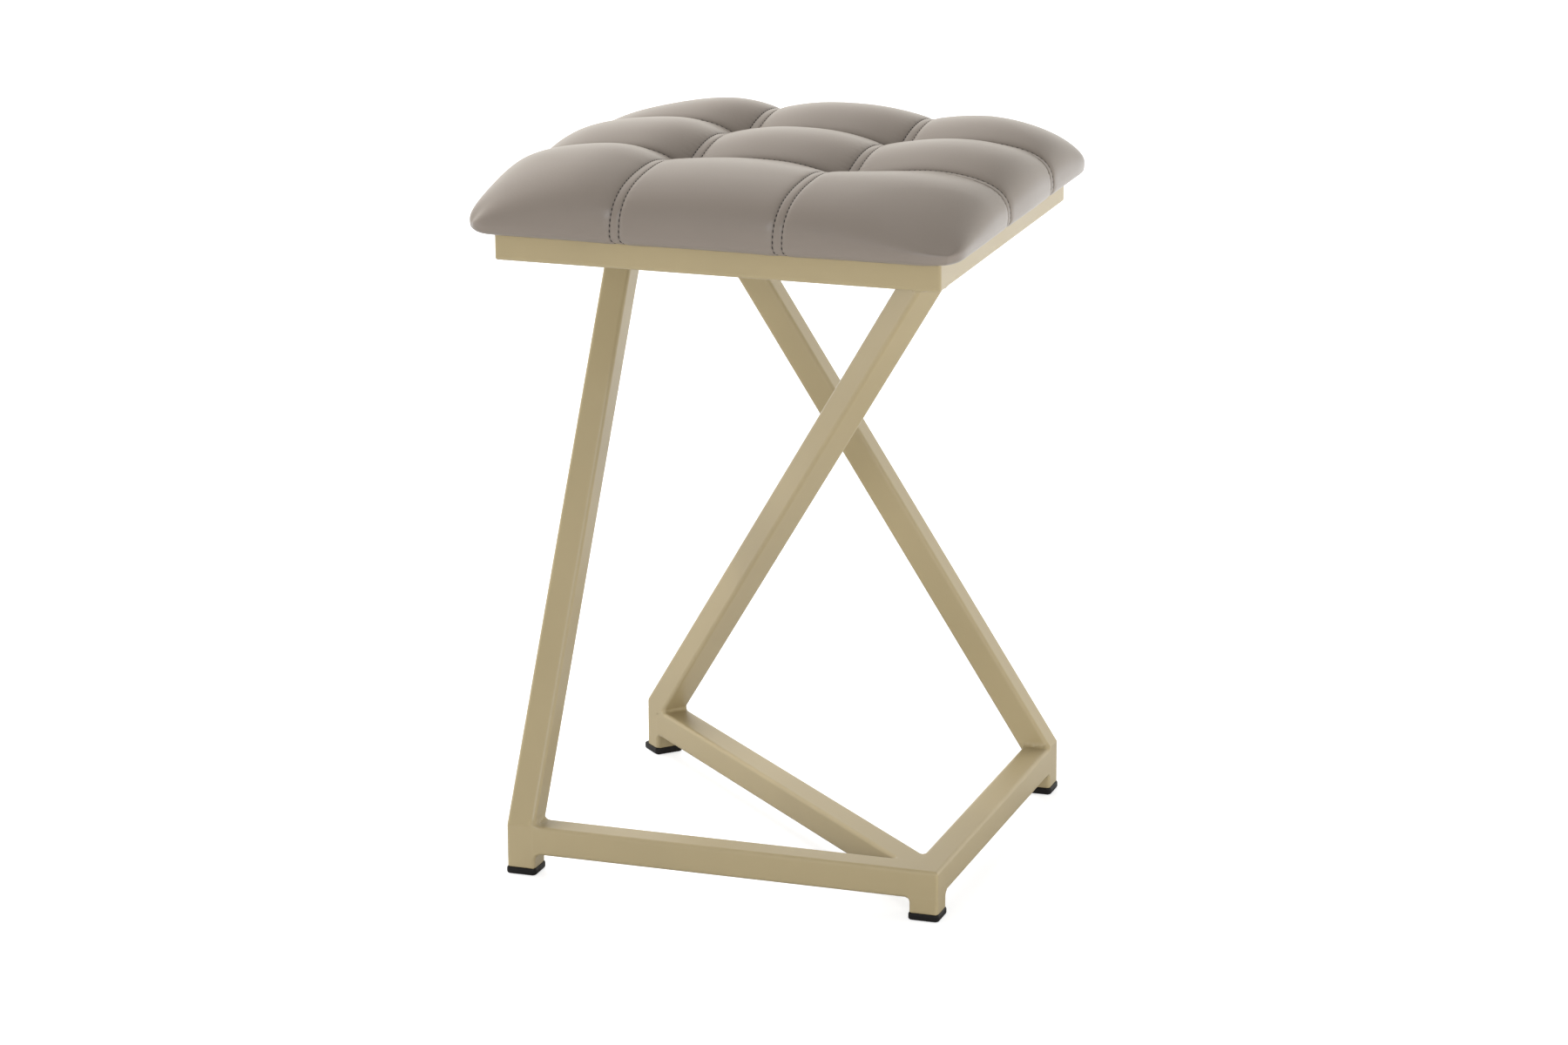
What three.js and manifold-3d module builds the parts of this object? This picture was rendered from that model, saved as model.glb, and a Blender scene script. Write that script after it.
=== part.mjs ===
// X frame stool: a welded square-tube frame on three leaning legs, under a quilted square seat.
// Millimetres, +Z up, origin on the floor under the middle of the seat frame, -Y is the front.
// The frame doesn't fold: every tube is welded, and the seat is bolted on from below.
import * as THREE from "three";
import { mergeVertices } from "three/addons/utils/BufferGeometryUtils.js";
import Module from "manifold-3d";

const wasm = await Module();
wasm.setup();

// Frame tube, the same for the base, the legs and the seat frame
const tubeSide = 20;
const tubeWall = 1.5;
const tubeCornerRadius = 2.5;
const tubeCornerFacets = 3;
const weldGap = 0.3;

// Overall places of the frame
const frameWidth = 306;
const frameDepth = 290;
const baseRailUnderside = 15;
const seatFrameUnderside = 427;
const leftLegTopFromBack = 66;
const backLegTopFromLeft = 54;
const diagonalLegTopSetback = 25.5;

// Glides pressed into the four feet
const glideHeadHeight = 5;
const glideHeadLip = 0.8;
const glideEdgeRound = 1.4;
const glideCornerRadius = 3.2;
const glideInsertDepth = 8;
const glideInsertClearance = 0.2;
const glideFinDepth = 1.1;
const glideFinCount = 2;
const glideFinShareOfPitch = 0.45;

// Weld fillets: on the short front right foot, and on top of the base rails where they meet a leg
const footFilletLeg = 4;
const railBeadLeg = 4;
const diagonalBeadLeg = 7;

// Tabs inside the front and back seat rails, and what bolts through them
const tabWidth = 26;
const tabReach = 24;
const tabThickness = 2.5;
const tabCornerRadius = 5;
const tabFromRailEnd = 74;
const tabHoleSetback = 12;
const boltRadius = 3;
const boltHoleClearance = 0.3;
const boltHeadRadius = 5.8;
const boltHeadHeight = 3.4;
const boltDriveRadius = 2.3;
const boltDriveDepth = 1.8;
const boltLength = 18;
const nutBarrelWall = 1.1;
const nutBoreClearance = 0.1;
const nutBarrelHeight = 9;
const nutFlangeRadius = 9.5;
const nutFlangeThickness = 1.3;
const nutPocketClearance = 0.2;

// Seat board, dust cover and foam
const softGap = 0.3;
const dustCoverThickness = 0.4;
const dustCoverInset = 9;
const dustCoverRadius = 10;
const boardThickness = 12;
const boardInset = 3;
const boardCornerRadius = 16;
const foamThickness = 6;
const foamInset = 11;
const foamEdgeRound = 3;
const foamCornerRadius = 12;

// Quilted cover
const coverThickness = 1.2;
const coverHem = 24;
const hemCornerRadius = 4;
const coverOverhang = 17;
const coverCornerRadius = 24;
const coverWidestHeight = 9;
const coverValleyHeight = 23.5;
const coverCrestHeight = 50;
const coverBottomInset = 1;
const seamStripWidth = 6.5;
const seamSideDepth = 3;
const seamPitch = 106;
const seamRiseShare = 0.56;
const seamsMiddleX = 1;
const seamsMiddleY = 13;
const seamLean = 8;

// Powers and shares that shape the cover's dome, its pads and the side tucked under it
const domePlanPower = 6;
const domeRimPower = 2.5;
const cornerDropShare = 0.9;
const cornerDropPower = 3;
const padCrownPower = 2.2;
const seamDrawPower = 6;
const leanPower = 8;
const rimLevelShares = [0, 0.25, 0.45, 0.65, 0.8, 0.9];
const outerPadShares = [0.34, 0.68, 0.88];
const innerPadShares = [0, 0.08, 0.25, 0.5, 0.75, 0.92, 1];
const tuckOutShares = [0.91, 0.61, 0.28, 0];
const tuckUpShares = [0.4, -0.07, -0.11, 0];

// Facets of round pieces
const roundFacets = 20;
const cutOverrun = 1;

// Derived places
const halfWidth = frameWidth / 2;
const halfDepth = frameDepth / 2;
const halfTube = tubeSide / 2;
const tubeBore = tubeSide - 2 * tubeWall;
const baseRailTop = baseRailUnderside + tubeSide;
const legBendHeight = baseRailTop;
const seatFrameTop = seatFrameUnderside + tubeSide;
const seatRailAxisHeight = seatFrameUnderside + halfTube;
const baseRailAxisHeight = baseRailUnderside + halfTube;
const postX = halfWidth - halfTube;
const postY = halfDepth - halfTube;
const UP = new THREE.Vector3(0, 0, 1);
const EAST = new THREE.Vector3(1, 0, 0);
const NORTH = new THREE.Vector3(0, 1, 0);

// Finishes, as photographed
const finish = (color, roughness, metalness) => ({ color, roughness, metalness });
const paintedSteel = finish(0xa89a7c, 0.42, 0.35);
const leather = finish(0x8c8278, 0.5, 0);
const blackPlastic = finish(0x1b1a19, 0.6, 0);
const plywood = finish(0xb08d5e, 0.8, 0);
const foam = finish(0xd9cfae, 0.95, 0);
const blackFabric = finish(0x222222, 0.95, 0);
const zincSteel = finish(0xb5b8ba, 0.35, 0.9);

const stool = new THREE.Group();

function add(name, geometry, look) {
  const mesh = new THREE.Mesh(geometry, new THREE.MeshStandardMaterial(look));
  mesh.name = name;
  stool.add(mesh);
  return mesh;
}

// Joins and cuts
function solid(geometry) {
  const bare = geometry.index ? geometry.toNonIndexed() : geometry.clone();
  bare.deleteAttribute("normal");
  bare.deleteAttribute("uv");
  const merged = mergeVertices(bare);
  return new wasm.Manifold(
    new wasm.Mesh({
      numProp: 3,
      vertProperties: merged.attributes.position.array,
      triVerts: new Uint32Array(merged.index.array),
    }),
  );
}

function geometryOf(manifold) {
  const mesh = manifold.getMesh();
  return new THREE.BufferGeometry()
    .setAttribute("position", new THREE.BufferAttribute(new Float32Array(mesh.vertProperties), 3))
    .setIndex(new THREE.BufferAttribute(new Uint32Array(mesh.triVerts), 1));
}

// Outline of a rectangle with round corners, anticlockwise
function roundedOutline(width, depth, radius, facets) {
  const points = [];
  const quarters = [[1, 1], [-1, 1], [-1, -1], [1, -1]];
  quarters.forEach(([sx, sy], quarter) => {
    for (let i = 0; i <= facets; i++) {
      const angle = (Math.PI / 2) * (quarter + i / facets);
      points.push(new THREE.Vector2(
        sx * (width / 2 - radius) + radius * Math.cos(angle),
        sy * (depth / 2 - radius) + radius * Math.sin(angle),
      ));
    }
  });
  return points;
}

function plate(outline, thickness, holes = []) {
  const shape = new THREE.Shape(outline);
  holes.forEach(({ x, y, radius }) => {
    shape.holes.push(new THREE.Path().absarc(x, y, radius, 0, 2 * Math.PI, true));
  });
  return new THREE.ExtrudeGeometry(shape, {
    depth: thickness,
    bevelEnabled: false,
    curveSegments: roundFacets / 2,
  });
}

// Tube section, with its bore as a hole in the shape, or without one for a cutting block
function tubeSection(grow, hollow) {
  const shape = new THREE.Shape(
    roundedOutline(tubeSide + 2 * grow, tubeSide + 2 * grow, tubeCornerRadius + grow, tubeCornerFacets),
  );
  if (hollow) {
    const bore = roundedOutline(tubeBore, tubeBore, tubeCornerRadius - tubeWall, tubeCornerFacets);
    shape.holes.push(new THREE.Path(bore.reverse()));
  }
  return shape;
}

// Tube along an axis whose two ends lie in any two planes, so its ends are mitred as it is drawn
function mitredTube({ through, along, side, from, to, grow = 0, hollow = true }) {
  const axis = along.clone().normalize();
  const across = side.clone().normalize();
  const third = new THREE.Vector3().crossVectors(axis, across);
  const unit = new THREE.ExtrudeGeometry(tubeSection(grow, hollow), { depth: 1, bevelEnabled: false });
  const place = unit.attributes.position;
  const point = new THREE.Vector3();
  for (let i = 0; i < place.count; i++) {
    const end = place.getZ(i) < 1 / 2 ? from : to;
    point.copy(through)
      .addScaledVector(across, place.getX(i))
      .addScaledVector(third, place.getY(i));
    const run = -end.distanceToPoint(point) / end.normal.dot(axis);
    point.addScaledVector(axis, run);
    place.setXYZ(i, point.x, point.y, point.z);
  }
  return unit;
}

const planeAt = (normal, point) => new THREE.Plane().setFromNormalAndCoplanarPoint(
  normal.clone().normalize(),
  point,
);
const levelPlane = (height) => planeAt(UP, new THREE.Vector3(0, 0, height));

// Rounded square block whose size changes with height: each level is [height, side, corner radius]
function steppedBlock(levels) {
  return loft(levels.map(([height, side, radius]) => (
    roundedOutline(side, side, radius, tubeCornerFacets).map((p) => [p.x, p.y, height])
  )));
}

// Closed skin over a stack of rings with as many points each, from the lowest ring up
function loft(rings) {
  const count = rings[0].length;
  const position = rings.flat(2);
  const index = [];
  for (let level = 0; level + 1 < rings.length; level++) {
    for (let i = 0; i < count; i++) {
      const j = (i + 1) % count;
      const a = level * count + i;
      const b = level * count + j;
      index.push(a, b, b + count, a, b + count, a + count);
    }
  }
  const top = (rings.length - 1) * count;
  for (let i = 1; i + 1 < count; i++) {
    index.push(0, i + 1, i);
    index.push(top, top + i, top + i + 1);
  }
  return new THREE.BufferGeometry()
    .setAttribute("position", new THREE.Float32BufferAttribute(position, 3))
    .setIndex(index);
}

// Seat frame: four tubes mitred at the corners
const seatCorner = (sx, sy) => planeAt(
  new THREE.Vector3(sx * sy, -1, 0),
  new THREE.Vector3(sx * halfWidth, sy * halfDepth, 0),
);

for (const [name, sy] of [["seat_rail_front", -1], ["seat_rail_back", 1]]) {
  add(name, mitredTube({
    through: new THREE.Vector3(0, sy * postY, seatRailAxisHeight),
    along: EAST,
    side: NORTH,
    from: seatCorner(-1, sy),
    to: seatCorner(1, sy),
  }), paintedSteel);
}
for (const [name, sx] of [["seat_rail_left", -1], ["seat_rail_right", 1]]) {
  add(name, mitredTube({
    through: new THREE.Vector3(sx * postX, 0, seatRailAxisHeight),
    along: NORTH,
    side: UP,
    from: seatCorner(sx, -1),
    to: seatCorner(sx, 1),
  }), paintedSteel);
}

// Feet and legs: each leg is a tube that bends out of its foot at a mitre and ends under the seat frame
const diagonal = new THREE.Vector3(2 * postX, -2 * postY, 0);
const diagonalRun = diagonal.length() - diagonalLegTopSetback + halfTube;
const legs = [
  {
    leg: "leg_left",
    foot: "foot_front_left",
    at: new THREE.Vector3(-postX, -postY, 0),
    lean: NORTH,
    run: frameDepth - leftLegTopFromBack,
  },
  {
    leg: "leg_back",
    foot: "foot_back_right",
    at: new THREE.Vector3(postX, postY, 0),
    lean: EAST.clone().negate(),
    run: frameWidth - backLegTopFromLeft,
  },
  {
    leg: "leg_diagonal",
    foot: "foot_back_left",
    at: new THREE.Vector3(-postX, postY, 0),
    lean: diagonal.clone().normalize(),
    run: diagonalRun,
  },
];

for (const each of legs) {
  const rise = seatFrameUnderside - legBendHeight;
  const heel = each.at.clone().addScaledVector(each.lean, -halfTube).setZ(legBendHeight);
  each.along = each.lean.clone().multiplyScalar(each.run).addScaledVector(UP, rise).normalize();
  each.side = new THREE.Vector3().crossVectors(each.lean, UP);
  each.mitre = each.along.clone().add(UP).normalize();
  const inward = new THREE.Vector3().crossVectors(each.along, each.side);
  if (inward.dot(each.lean) < 0) inward.negate();
  each.through = heel.clone().addScaledVector(inward, halfTube);
  each.heel = heel;
  add(each.foot, mitredTube({
    through: each.at,
    along: UP,
    side: each.side,
    from: levelPlane(glideHeadHeight),
    to: planeAt(each.mitre, heel),
  }), paintedSteel);
  add(each.leg, mitredTube({
    through: each.through,
    along: each.along,
    side: each.side,
    from: planeAt(each.mitre, heel.clone().addScaledVector(each.mitre, weldGap)),
    to: levelPlane(seatFrameUnderside),
  }), paintedSteel);
}

// Base rails: the front and right ones meet at a mitre over the fourth foot.
// Each has a weld bead on top of the end that meets a leg.
const baseMitre = planeAt(new THREE.Vector3(1, 1, 0), new THREE.Vector3(halfWidth, -halfDepth, 0));
const beadLength = tubeSide - 2 * tubeCornerRadius;
function bead(corner, turn, at) {
  const outline = new THREE.Shape(corner.map(([out, up]) => new THREE.Vector2(out, up)));
  return solid(
    new THREE.ExtrudeGeometry(outline, { depth: beadLength, bevelEnabled: false })
      .rotateX(Math.PI / 2)
      .translate(0, beadLength / 2, 0)
      .rotateZ(turn)
      .translate(at.x, at.y, at.z),
  );
}
const railBead = [
  [0, -tubeWall / 2],
  [railBeadLeg, -tubeWall / 2],
  [railBeadLeg, 0],
  [0, railBeadLeg],
];
const frontRailEnd = new THREE.Vector3(-halfWidth + tubeSide, -postY, baseRailTop);
const rightRailEnd = new THREE.Vector3(postX, halfDepth - tubeSide, baseRailTop);
const frontRail = solid(mitredTube({
  through: new THREE.Vector3(0, -postY, baseRailAxisHeight),
  along: EAST,
  side: NORTH,
  from: planeAt(EAST, frontRailEnd),
  to: baseMitre,
}));
const rightRail = solid(mitredTube({
  through: new THREE.Vector3(postX, 0, baseRailAxisHeight),
  along: NORTH,
  side: UP,
  from: baseMitre,
  to: planeAt(NORTH, rightRailEnd),
}));
add("base_rail_front", geometryOf(frontRail.add(bead(railBead, 0, frontRailEnd))), paintedSteel);
add("base_rail_right", geometryOf(rightRail.add(bead(railBead, -Math.PI / 2, rightRailEnd))), paintedSteel);

// Diagonal base rail: coped to its leg and foot at one end, pointed into the corner at the other
const diagonalLeg = legs[2];
const railMiddle = new THREE.Vector3(0, 0, baseRailAxisHeight);
const diagonalBlank = solid(mitredTube({
  through: railMiddle,
  along: diagonalLeg.lean,
  side: diagonalLeg.side,
  from: planeAt(diagonalLeg.lean, diagonalLeg.at),
  to: planeAt(diagonalLeg.lean, new THREE.Vector3(postX, -postY, 0)),
}));
const footBlock = solid(mitredTube({
  through: diagonalLeg.at,
  along: UP,
  side: diagonalLeg.side,
  from: levelPlane(glideHeadHeight),
  to: levelPlane(legBendHeight),
  grow: weldGap,
  hollow: false,
}));
const legBlock = solid(mitredTube({
  through: diagonalLeg.through,
  along: diagonalLeg.along,
  side: diagonalLeg.side,
  from: levelPlane(glideHeadHeight),
  to: levelPlane(seatFrameUnderside),
  grow: weldGap,
  hollow: false,
}));
const leanAngle = Math.atan2(diagonalLeg.run, seatFrameUnderside - legBendHeight);
const underLeg = diagonalLeg.heel.clone()
  .addScaledVector(diagonalLeg.lean, tubeSide / Math.cos(leanAngle))
  .setZ(baseRailTop);
const diagonalBead = bead(
  [
    [0, -tubeWall / 2],
    [diagonalBeadLeg, -tubeWall / 2],
    [diagonalBeadLeg, 0],
    [diagonalBeadLeg * Math.sin(leanAngle), diagonalBeadLeg * Math.cos(leanAngle)],
  ],
  Math.atan2(diagonalLeg.lean.y, diagonalLeg.lean.x),
  underLeg,
);
function railBlock(width, depth, x, y) {
  const height = tubeSide + 2 * cutOverrun;
  return solid(new THREE.BoxGeometry(width, depth, height).translate(x, y, baseRailAxisHeight));
}
const cutWidth = tubeSide + 2 * weldGap;
const frontBlock = railBlock(frameWidth, cutWidth, 0, -postY);
const rightBlock = railBlock(cutWidth, frameDepth, postX, 0);
const diagonalRail = [footBlock, legBlock, frontBlock, rightBlock].reduce(
  (rail, block) => rail.subtract(block),
  diagonalBlank.add(diagonalBead),
);
add("base_rail_diagonal", geometryOf(diagonalRail), paintedSteel);

// Short foot under the mitred corner, with a weld fillet on each side that faces a rail
const shortFootAt = new THREE.Vector3(postX, -postY, 0);
const shortFoot = solid(mitredTube({
  through: shortFootAt,
  along: UP,
  side: EAST,
  from: levelPlane(glideHeadHeight),
  to: levelPlane(baseRailUnderside),
}));
const footFillet = [
  [halfTube - tubeWall / 2, -footFilletLeg],
  [halfTube, -footFilletLeg],
  [halfTube + footFilletLeg, 0],
  [halfTube - tubeWall / 2, 0],
];
const footTop = shortFootAt.clone().setZ(baseRailUnderside);
add(
  "foot_front_right",
  geometryOf([Math.PI, Math.PI / 2].reduce(
    (foot, turn) => foot.add(bead(footFillet, turn, footTop)),
    shortFoot,
  )),
  paintedSteel,
);

// Glides: a square head under the tube and a finned plug inside it
function glide() {
  const head = tubeSide + 2 * glideHeadLip;
  const plug = tubeBore - 2 * glideInsertClearance;
  const core = plug - 2 * glideFinDepth;
  const plugRadius = tubeCornerRadius - tubeWall;
  const pitch = glideInsertDepth / glideFinCount;
  const levels = [
    [0, head - 2 * glideEdgeRound, glideCornerRadius - glideEdgeRound],
    [glideEdgeRound * (1 - Math.SQRT1_2), head - 2 * glideEdgeRound * (1 - Math.SQRT1_2), glideCornerRadius],
    [glideEdgeRound, head, glideCornerRadius],
    [glideHeadHeight, head, glideCornerRadius],
    [glideHeadHeight, core, plugRadius],
  ];
  for (let fin = 0; fin < glideFinCount; fin++) {
    const root = glideHeadHeight + pitch * (fin + 1 - glideFinShareOfPitch);
    levels.push([root, core, plugRadius]);
    levels.push([root, plug, plugRadius]);
    levels.push([glideHeadHeight + pitch * (fin + 1), core, plugRadius]);
  }
  return steppedBlock(levels);
}
const glides = [
  ["glide_front_left", -postX, -postY, EAST],
  ["glide_front_right", postX, -postY, EAST],
  ["glide_back_right", postX, postY, EAST],
  ["glide_back_left", -postX, postY, diagonalLeg.lean],
];
for (const [name, x, y, facing] of glides) {
  const mesh = add(name, glide(), blackPlastic);
  mesh.position.set(x, y, 0);
  mesh.rotation.z = Math.atan2(facing.y, facing.x);
}

// Tabs, bolts and tee nuts that hold the seat, two on the front rail and two on the back rail
const dustCoverUnderside = seatFrameTop + softGap;
const coverUnderside = dustCoverUnderside + dustCoverThickness + softGap;
const hemTop = coverUnderside + coverThickness;
const boardUnderside = hemTop + softGap;
const boardTop = boardUnderside + boardThickness;
const foamUnderside = boardTop + softGap;
const foamTop = foamUnderside + foamThickness;
const widestHeight = coverUnderside + coverWidestHeight;
const valleyHeight = seatFrameTop + coverValleyHeight;
const crestHeight = seatFrameTop + coverCrestHeight;

const tabTop = seatFrameTop - tubeCornerRadius;
const tabX = halfWidth - tabFromRailEnd;
const tabEdgeY = halfDepth - tubeSide;
const boltY = tabEdgeY - tabHoleSetback;
const boltPlaces = [
  ["front_left", -1, -1],
  ["front_right", 1, -1],
  ["back_left", -1, 1],
  ["back_right", 1, 1],
].map(([name, sx, sy]) => ({ name, sx, sy, x: sx * tabX, y: sy * boltY }));

function lathe(points) {
  return new THREE.LatheGeometry(
    points.map(([radius, height]) => new THREE.Vector2(radius, height)),
    roundFacets,
  ).rotateX(Math.PI / 2);
}

function tab() {
  const outline = [
    [-tabWidth / 2, 0],
    [tabWidth / 2, 0],
    [tabWidth / 2, tabReach - tabCornerRadius],
    [tabWidth / 2 - tabCornerRadius, tabReach],
    [-tabWidth / 2 + tabCornerRadius, tabReach],
    [-tabWidth / 2, tabReach - tabCornerRadius],
  ].map(([x, y]) => new THREE.Vector2(x, y));
  return plate(outline, tabThickness, [{ x: 0, y: tabHoleSetback, radius: boltRadius + boltHoleClearance }]);
}

function bolt() {
  return lathe([
    [0, boltDriveDepth - boltHeadHeight],
    [boltDriveRadius, boltDriveDepth - boltHeadHeight],
    [boltDriveRadius, -boltHeadHeight],
    [boltHeadRadius - boltHeadHeight / 2, -boltHeadHeight],
    [boltHeadRadius, -boltHeadHeight / 2],
    [boltHeadRadius, 0],
    [boltRadius, 0],
    [boltRadius, boltLength],
    [0, boltLength],
  ]);
}

function teeNut() {
  const bore = boltRadius + nutBoreClearance;
  const barrel = bore + nutBarrelWall;
  return lathe([
    [bore, -nutBarrelHeight],
    [barrel, -nutBarrelHeight],
    [barrel, -nutFlangeThickness],
    [nutFlangeRadius, -nutFlangeThickness],
    [nutFlangeRadius, 0],
    [bore, 0],
    [bore, -nutBarrelHeight],
  ]);
}

for (const { name, sx, sy, x, y } of boltPlaces) {
  const tabMesh = add("seat_tab_" + name, tab(), paintedSteel);
  tabMesh.position.set(x, sy * tabEdgeY, tabTop - tabThickness);
  tabMesh.rotation.z = sy < 0 ? 0 : Math.PI;
  add("seat_bolt_" + name, bolt(), zincSteel).position.set(x, y, tabTop - tabThickness);
  add("tee_nut_" + name, teeNut(), zincSteel).position.set(x, y, boardTop);
}

// Dust cover, board and foam
const rectangle = (inset, radius) => roundedOutline(
  frameWidth - 2 * inset,
  frameDepth - 2 * inset,
  radius,
  tubeCornerFacets,
);
const dustHoles = boltPlaces.map(({ x, y }) => ({ x, y, radius: boltRadius + boltHoleClearance }));
const dustCover = plate(rectangle(dustCoverInset, dustCoverRadius), dustCoverThickness, dustHoles);
add("dust_cover", dustCover, blackFabric).position.z = dustCoverUnderside;

function peg(radius, bottom, top, x, y) {
  return solid(
    new THREE.CylinderGeometry(radius, radius, top - bottom, roundFacets)
      .rotateX(Math.PI / 2)
      .translate(x, y, (bottom + top) / 2),
  );
}
const barrelHole = boltRadius + nutBoreClearance + nutBarrelWall + nutPocketClearance;
const flangePocket = nutFlangeRadius + nutPocketClearance;
const pocketDepth = nutFlangeThickness + nutPocketClearance;
const board = boltPlaces.reduce(
  (made, { x, y }) => made
    .subtract(peg(barrelHole, -cutOverrun, boardThickness + cutOverrun, x, y))
    .subtract(peg(flangePocket, boardThickness - pocketDepth, boardThickness + cutOverrun, x, y)),
  solid(plate(rectangle(boardInset, boardCornerRadius), boardThickness)),
);
add("seat_board", geometryOf(board), plywood).position.z = boardUnderside;

const roundedBlock = (rings) => loft(
  rings.map(([height, inset, radius]) => rectangle(inset, radius).map((p) => [p.x, p.y, height])),
);
const foamEdgeStep = foamEdgeRound * (1 - Math.SQRT1_2);
add("foam_pad", roundedBlock([
  [foamUnderside, foamInset, foamCornerRadius],
  [foamTop - foamEdgeRound, foamInset, foamCornerRadius],
  [foamTop - foamEdgeStep, foamInset + foamEdgeStep, foamCornerRadius],
  [foamTop, foamInset + foamEdgeRound, foamCornerRadius],
]), foam);

// Quilted cover: a low dome that two pairs of stitched seams cut into nine pads.
// The knots of its grid run from one rim, over the dome's shoulder and the seams, to the other rim.
function padKnots(half, middle) {
  const rim = half + coverOverhang;
  const seams = [middle - seamPitch / 2, middle + seamPitch / 2];
  const shoulder = rimLevelShares.map(
    (level) => rim * (1 - level ** domeRimPower) ** (1 / domePlanPower),
  );
  const shoulderEnd = shoulder[shoulder.length - 1];
  const outside = (side) => {
    const stripEdge = side * seams[side < 0 ? 0 : 1] + seamStripWidth / 2;
    const outer = outerPadShares.map((share) => shoulderEnd + (stripEdge - shoulderEnd) * share);
    return [...shoulder, ...outer, stripEdge].map((place) => side * place);
  };
  const inner = innerPadShares.map((share) => middle + (seamPitch / 2 - seamStripWidth / 2) * (1 - 2 * share));
  return { rim, seams, knots: [...outside(1), ...inner, ...outside(-1).reverse()] };
}

// How full a pad is at one place across it: 0 on a seam, 1 at the pad's middle and out to the side
function padFullness(place, { seams }) {
  const fromSeam = Math.min(...seams.map((seam) => Math.abs(place - seam))) - seamStripWidth / 2;
  const half = (seamPitch - seamStripWidth) / 2;
  return 1 - (1 - Math.min(Math.max(fromSeam, 0) / half, 1)) ** padCrownPower;
}

// The dome's height at one place across it: 1 in the middle, 0 at the rim, where its side stands upright
const domeLevel = (place, { rim }) => (1 - Math.abs(place / rim) ** domePlanPower) ** (1 / domeRimPower);

function quiltedForm() {
  const across = padKnots(halfWidth, seamsMiddleX);
  const along = padKnots(halfDepth, seamsMiddleY);
  const columns = across.knots.length;
  const rows = along.knots.length;
  const position = [];
  const index = [];

  // Height over the widest line: a seam rises between two crossings, and a pad rises from its seams
  function topHeight(x, y) {
    const fullX = padFullness(x, across);
    const fullY = padFullness(y, along);
    const lift = seamRiseShare * (fullX + fullY) + (1 - 2 * seamRiseShare) * fullX * fullY;
    const height = valleyHeight - widestHeight + (crestHeight - valleyHeight) * lift;
    const farOut = Math.abs((x / across.rim) * (y / along.rim)) ** cornerDropPower;
    const level = domeLevel(x, across) * domeLevel(y, along) * (1 - cornerDropShare * farOut);
    return widestHeight + level * height;
  }

  // The corner squares of the grid are bent into quarter discs, so the outline has round corners
  function bend(x, y) {
    const cornerX = Math.abs(x) - (across.rim - coverCornerRadius);
    const cornerY = Math.abs(y) - (along.rim - coverCornerRadius);
    const facing = Math.abs(x) === across.rim ? [Math.sign(x), 0] : [0, Math.sign(y)];
    if (Math.min(cornerX, cornerY) <= 0) return { x, y, facing };
    const reach = Math.max(cornerX, cornerY);
    const turn = (Math.PI / 4) * (Math.min(cornerX, cornerY) / reach);
    const angle = cornerX >= cornerY ? turn : Math.PI / 2 - turn;
    const outX = Math.sign(x) * Math.cos(angle);
    const outY = Math.sign(y) * Math.sin(angle);
    return {
      x: x + outX * reach - Math.sign(x) * cornerX,
      y: y + outY * reach - Math.sign(y) * cornerY,
      facing: [outX, outY],
    };
  }

  // How far the seams lean to the right on their way back, at one place between the side rims
  const leanAt = (x, y) => seamLean * (y / along.rim) * (1 - (x / across.rim) ** leanPower);

  // How far a seam draws the side in, at one place on its way out to the rim
  const drawIn = (place, { rim }, fullness) => Math.sign(place)
    * seamSideDepth * (1 - fullness) * Math.abs(place / rim) ** seamDrawPower;

  for (let row = 0; row < rows; row++) {
    for (let column = 0; column < columns; column++) {
      const [x, y] = [-across.knots[column], -along.knots[row]];
      const bent = bend(x, y);
      position.push(
        bent.x - drawIn(x, across, padFullness(y, along)) + leanAt(x, y),
        bent.y - drawIn(y, along, padFullness(x, across)),
        topHeight(x, y),
      );
    }
  }
  for (let row = 0; row + 1 < rows; row++) {
    for (let column = 0; column + 1 < columns; column++) {
      const a = row * columns + column;
      index.push(a, a + 1, a + columns + 1, a, a + columns + 1, a + columns);
    }
  }

  // Loop of grid points round the widest line, anticlockwise from the front left corner
  const loop = [];
  for (let column = 0; column < columns; column++) loop.push([column, 0]);
  for (let row = 1; row < rows; row++) loop.push([columns - 1, row]);
  for (let column = columns - 2; column >= 0; column--) loop.push([column, rows - 1]);
  for (let row = rows - 2; row > 0; row--) loop.push([0, row]);

  // Rings from the widest line down and in to the frame's edge
  let above = loop.map(([column, row]) => row * columns + column);
  tuckOutShares.forEach((outShare, ring) => {
    const height = coverUnderside + coverWidestHeight * tuckUpShares[ring];
    const below = loop.map(([column, row]) => {
      const [x, y] = [-across.knots[column], -along.knots[row]];
      const bent = bend(x, y);
      const drawn = seamSideDepth * (1 - padFullness(x, across) * padFullness(y, along));
      const inward = drawn + (coverOverhang + coverBottomInset - drawn) * (1 - outShare);
      const leant = bent.x + leanAt(x, y);
      position.push(leant - bent.facing[0] * inward, bent.y - bent.facing[1] * inward, height);
      return position.length / 3 - 1;
    });
    above.forEach((from, i) => {
      const j = (i + 1) % above.length;
      index.push(from, below[i], below[j], from, below[j], above[j]);
    });
    above = below;
  });
  position.push(0, 0, coverUnderside);
  const middle = position.length / 3 - 1;
  above.forEach((from, i) => index.push(from, middle, above[(i + 1) % above.length]));
  return new THREE.BufferGeometry()
    .setAttribute("position", new THREE.Float32BufferAttribute(position, 3))
    .setIndex(index);
}

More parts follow.
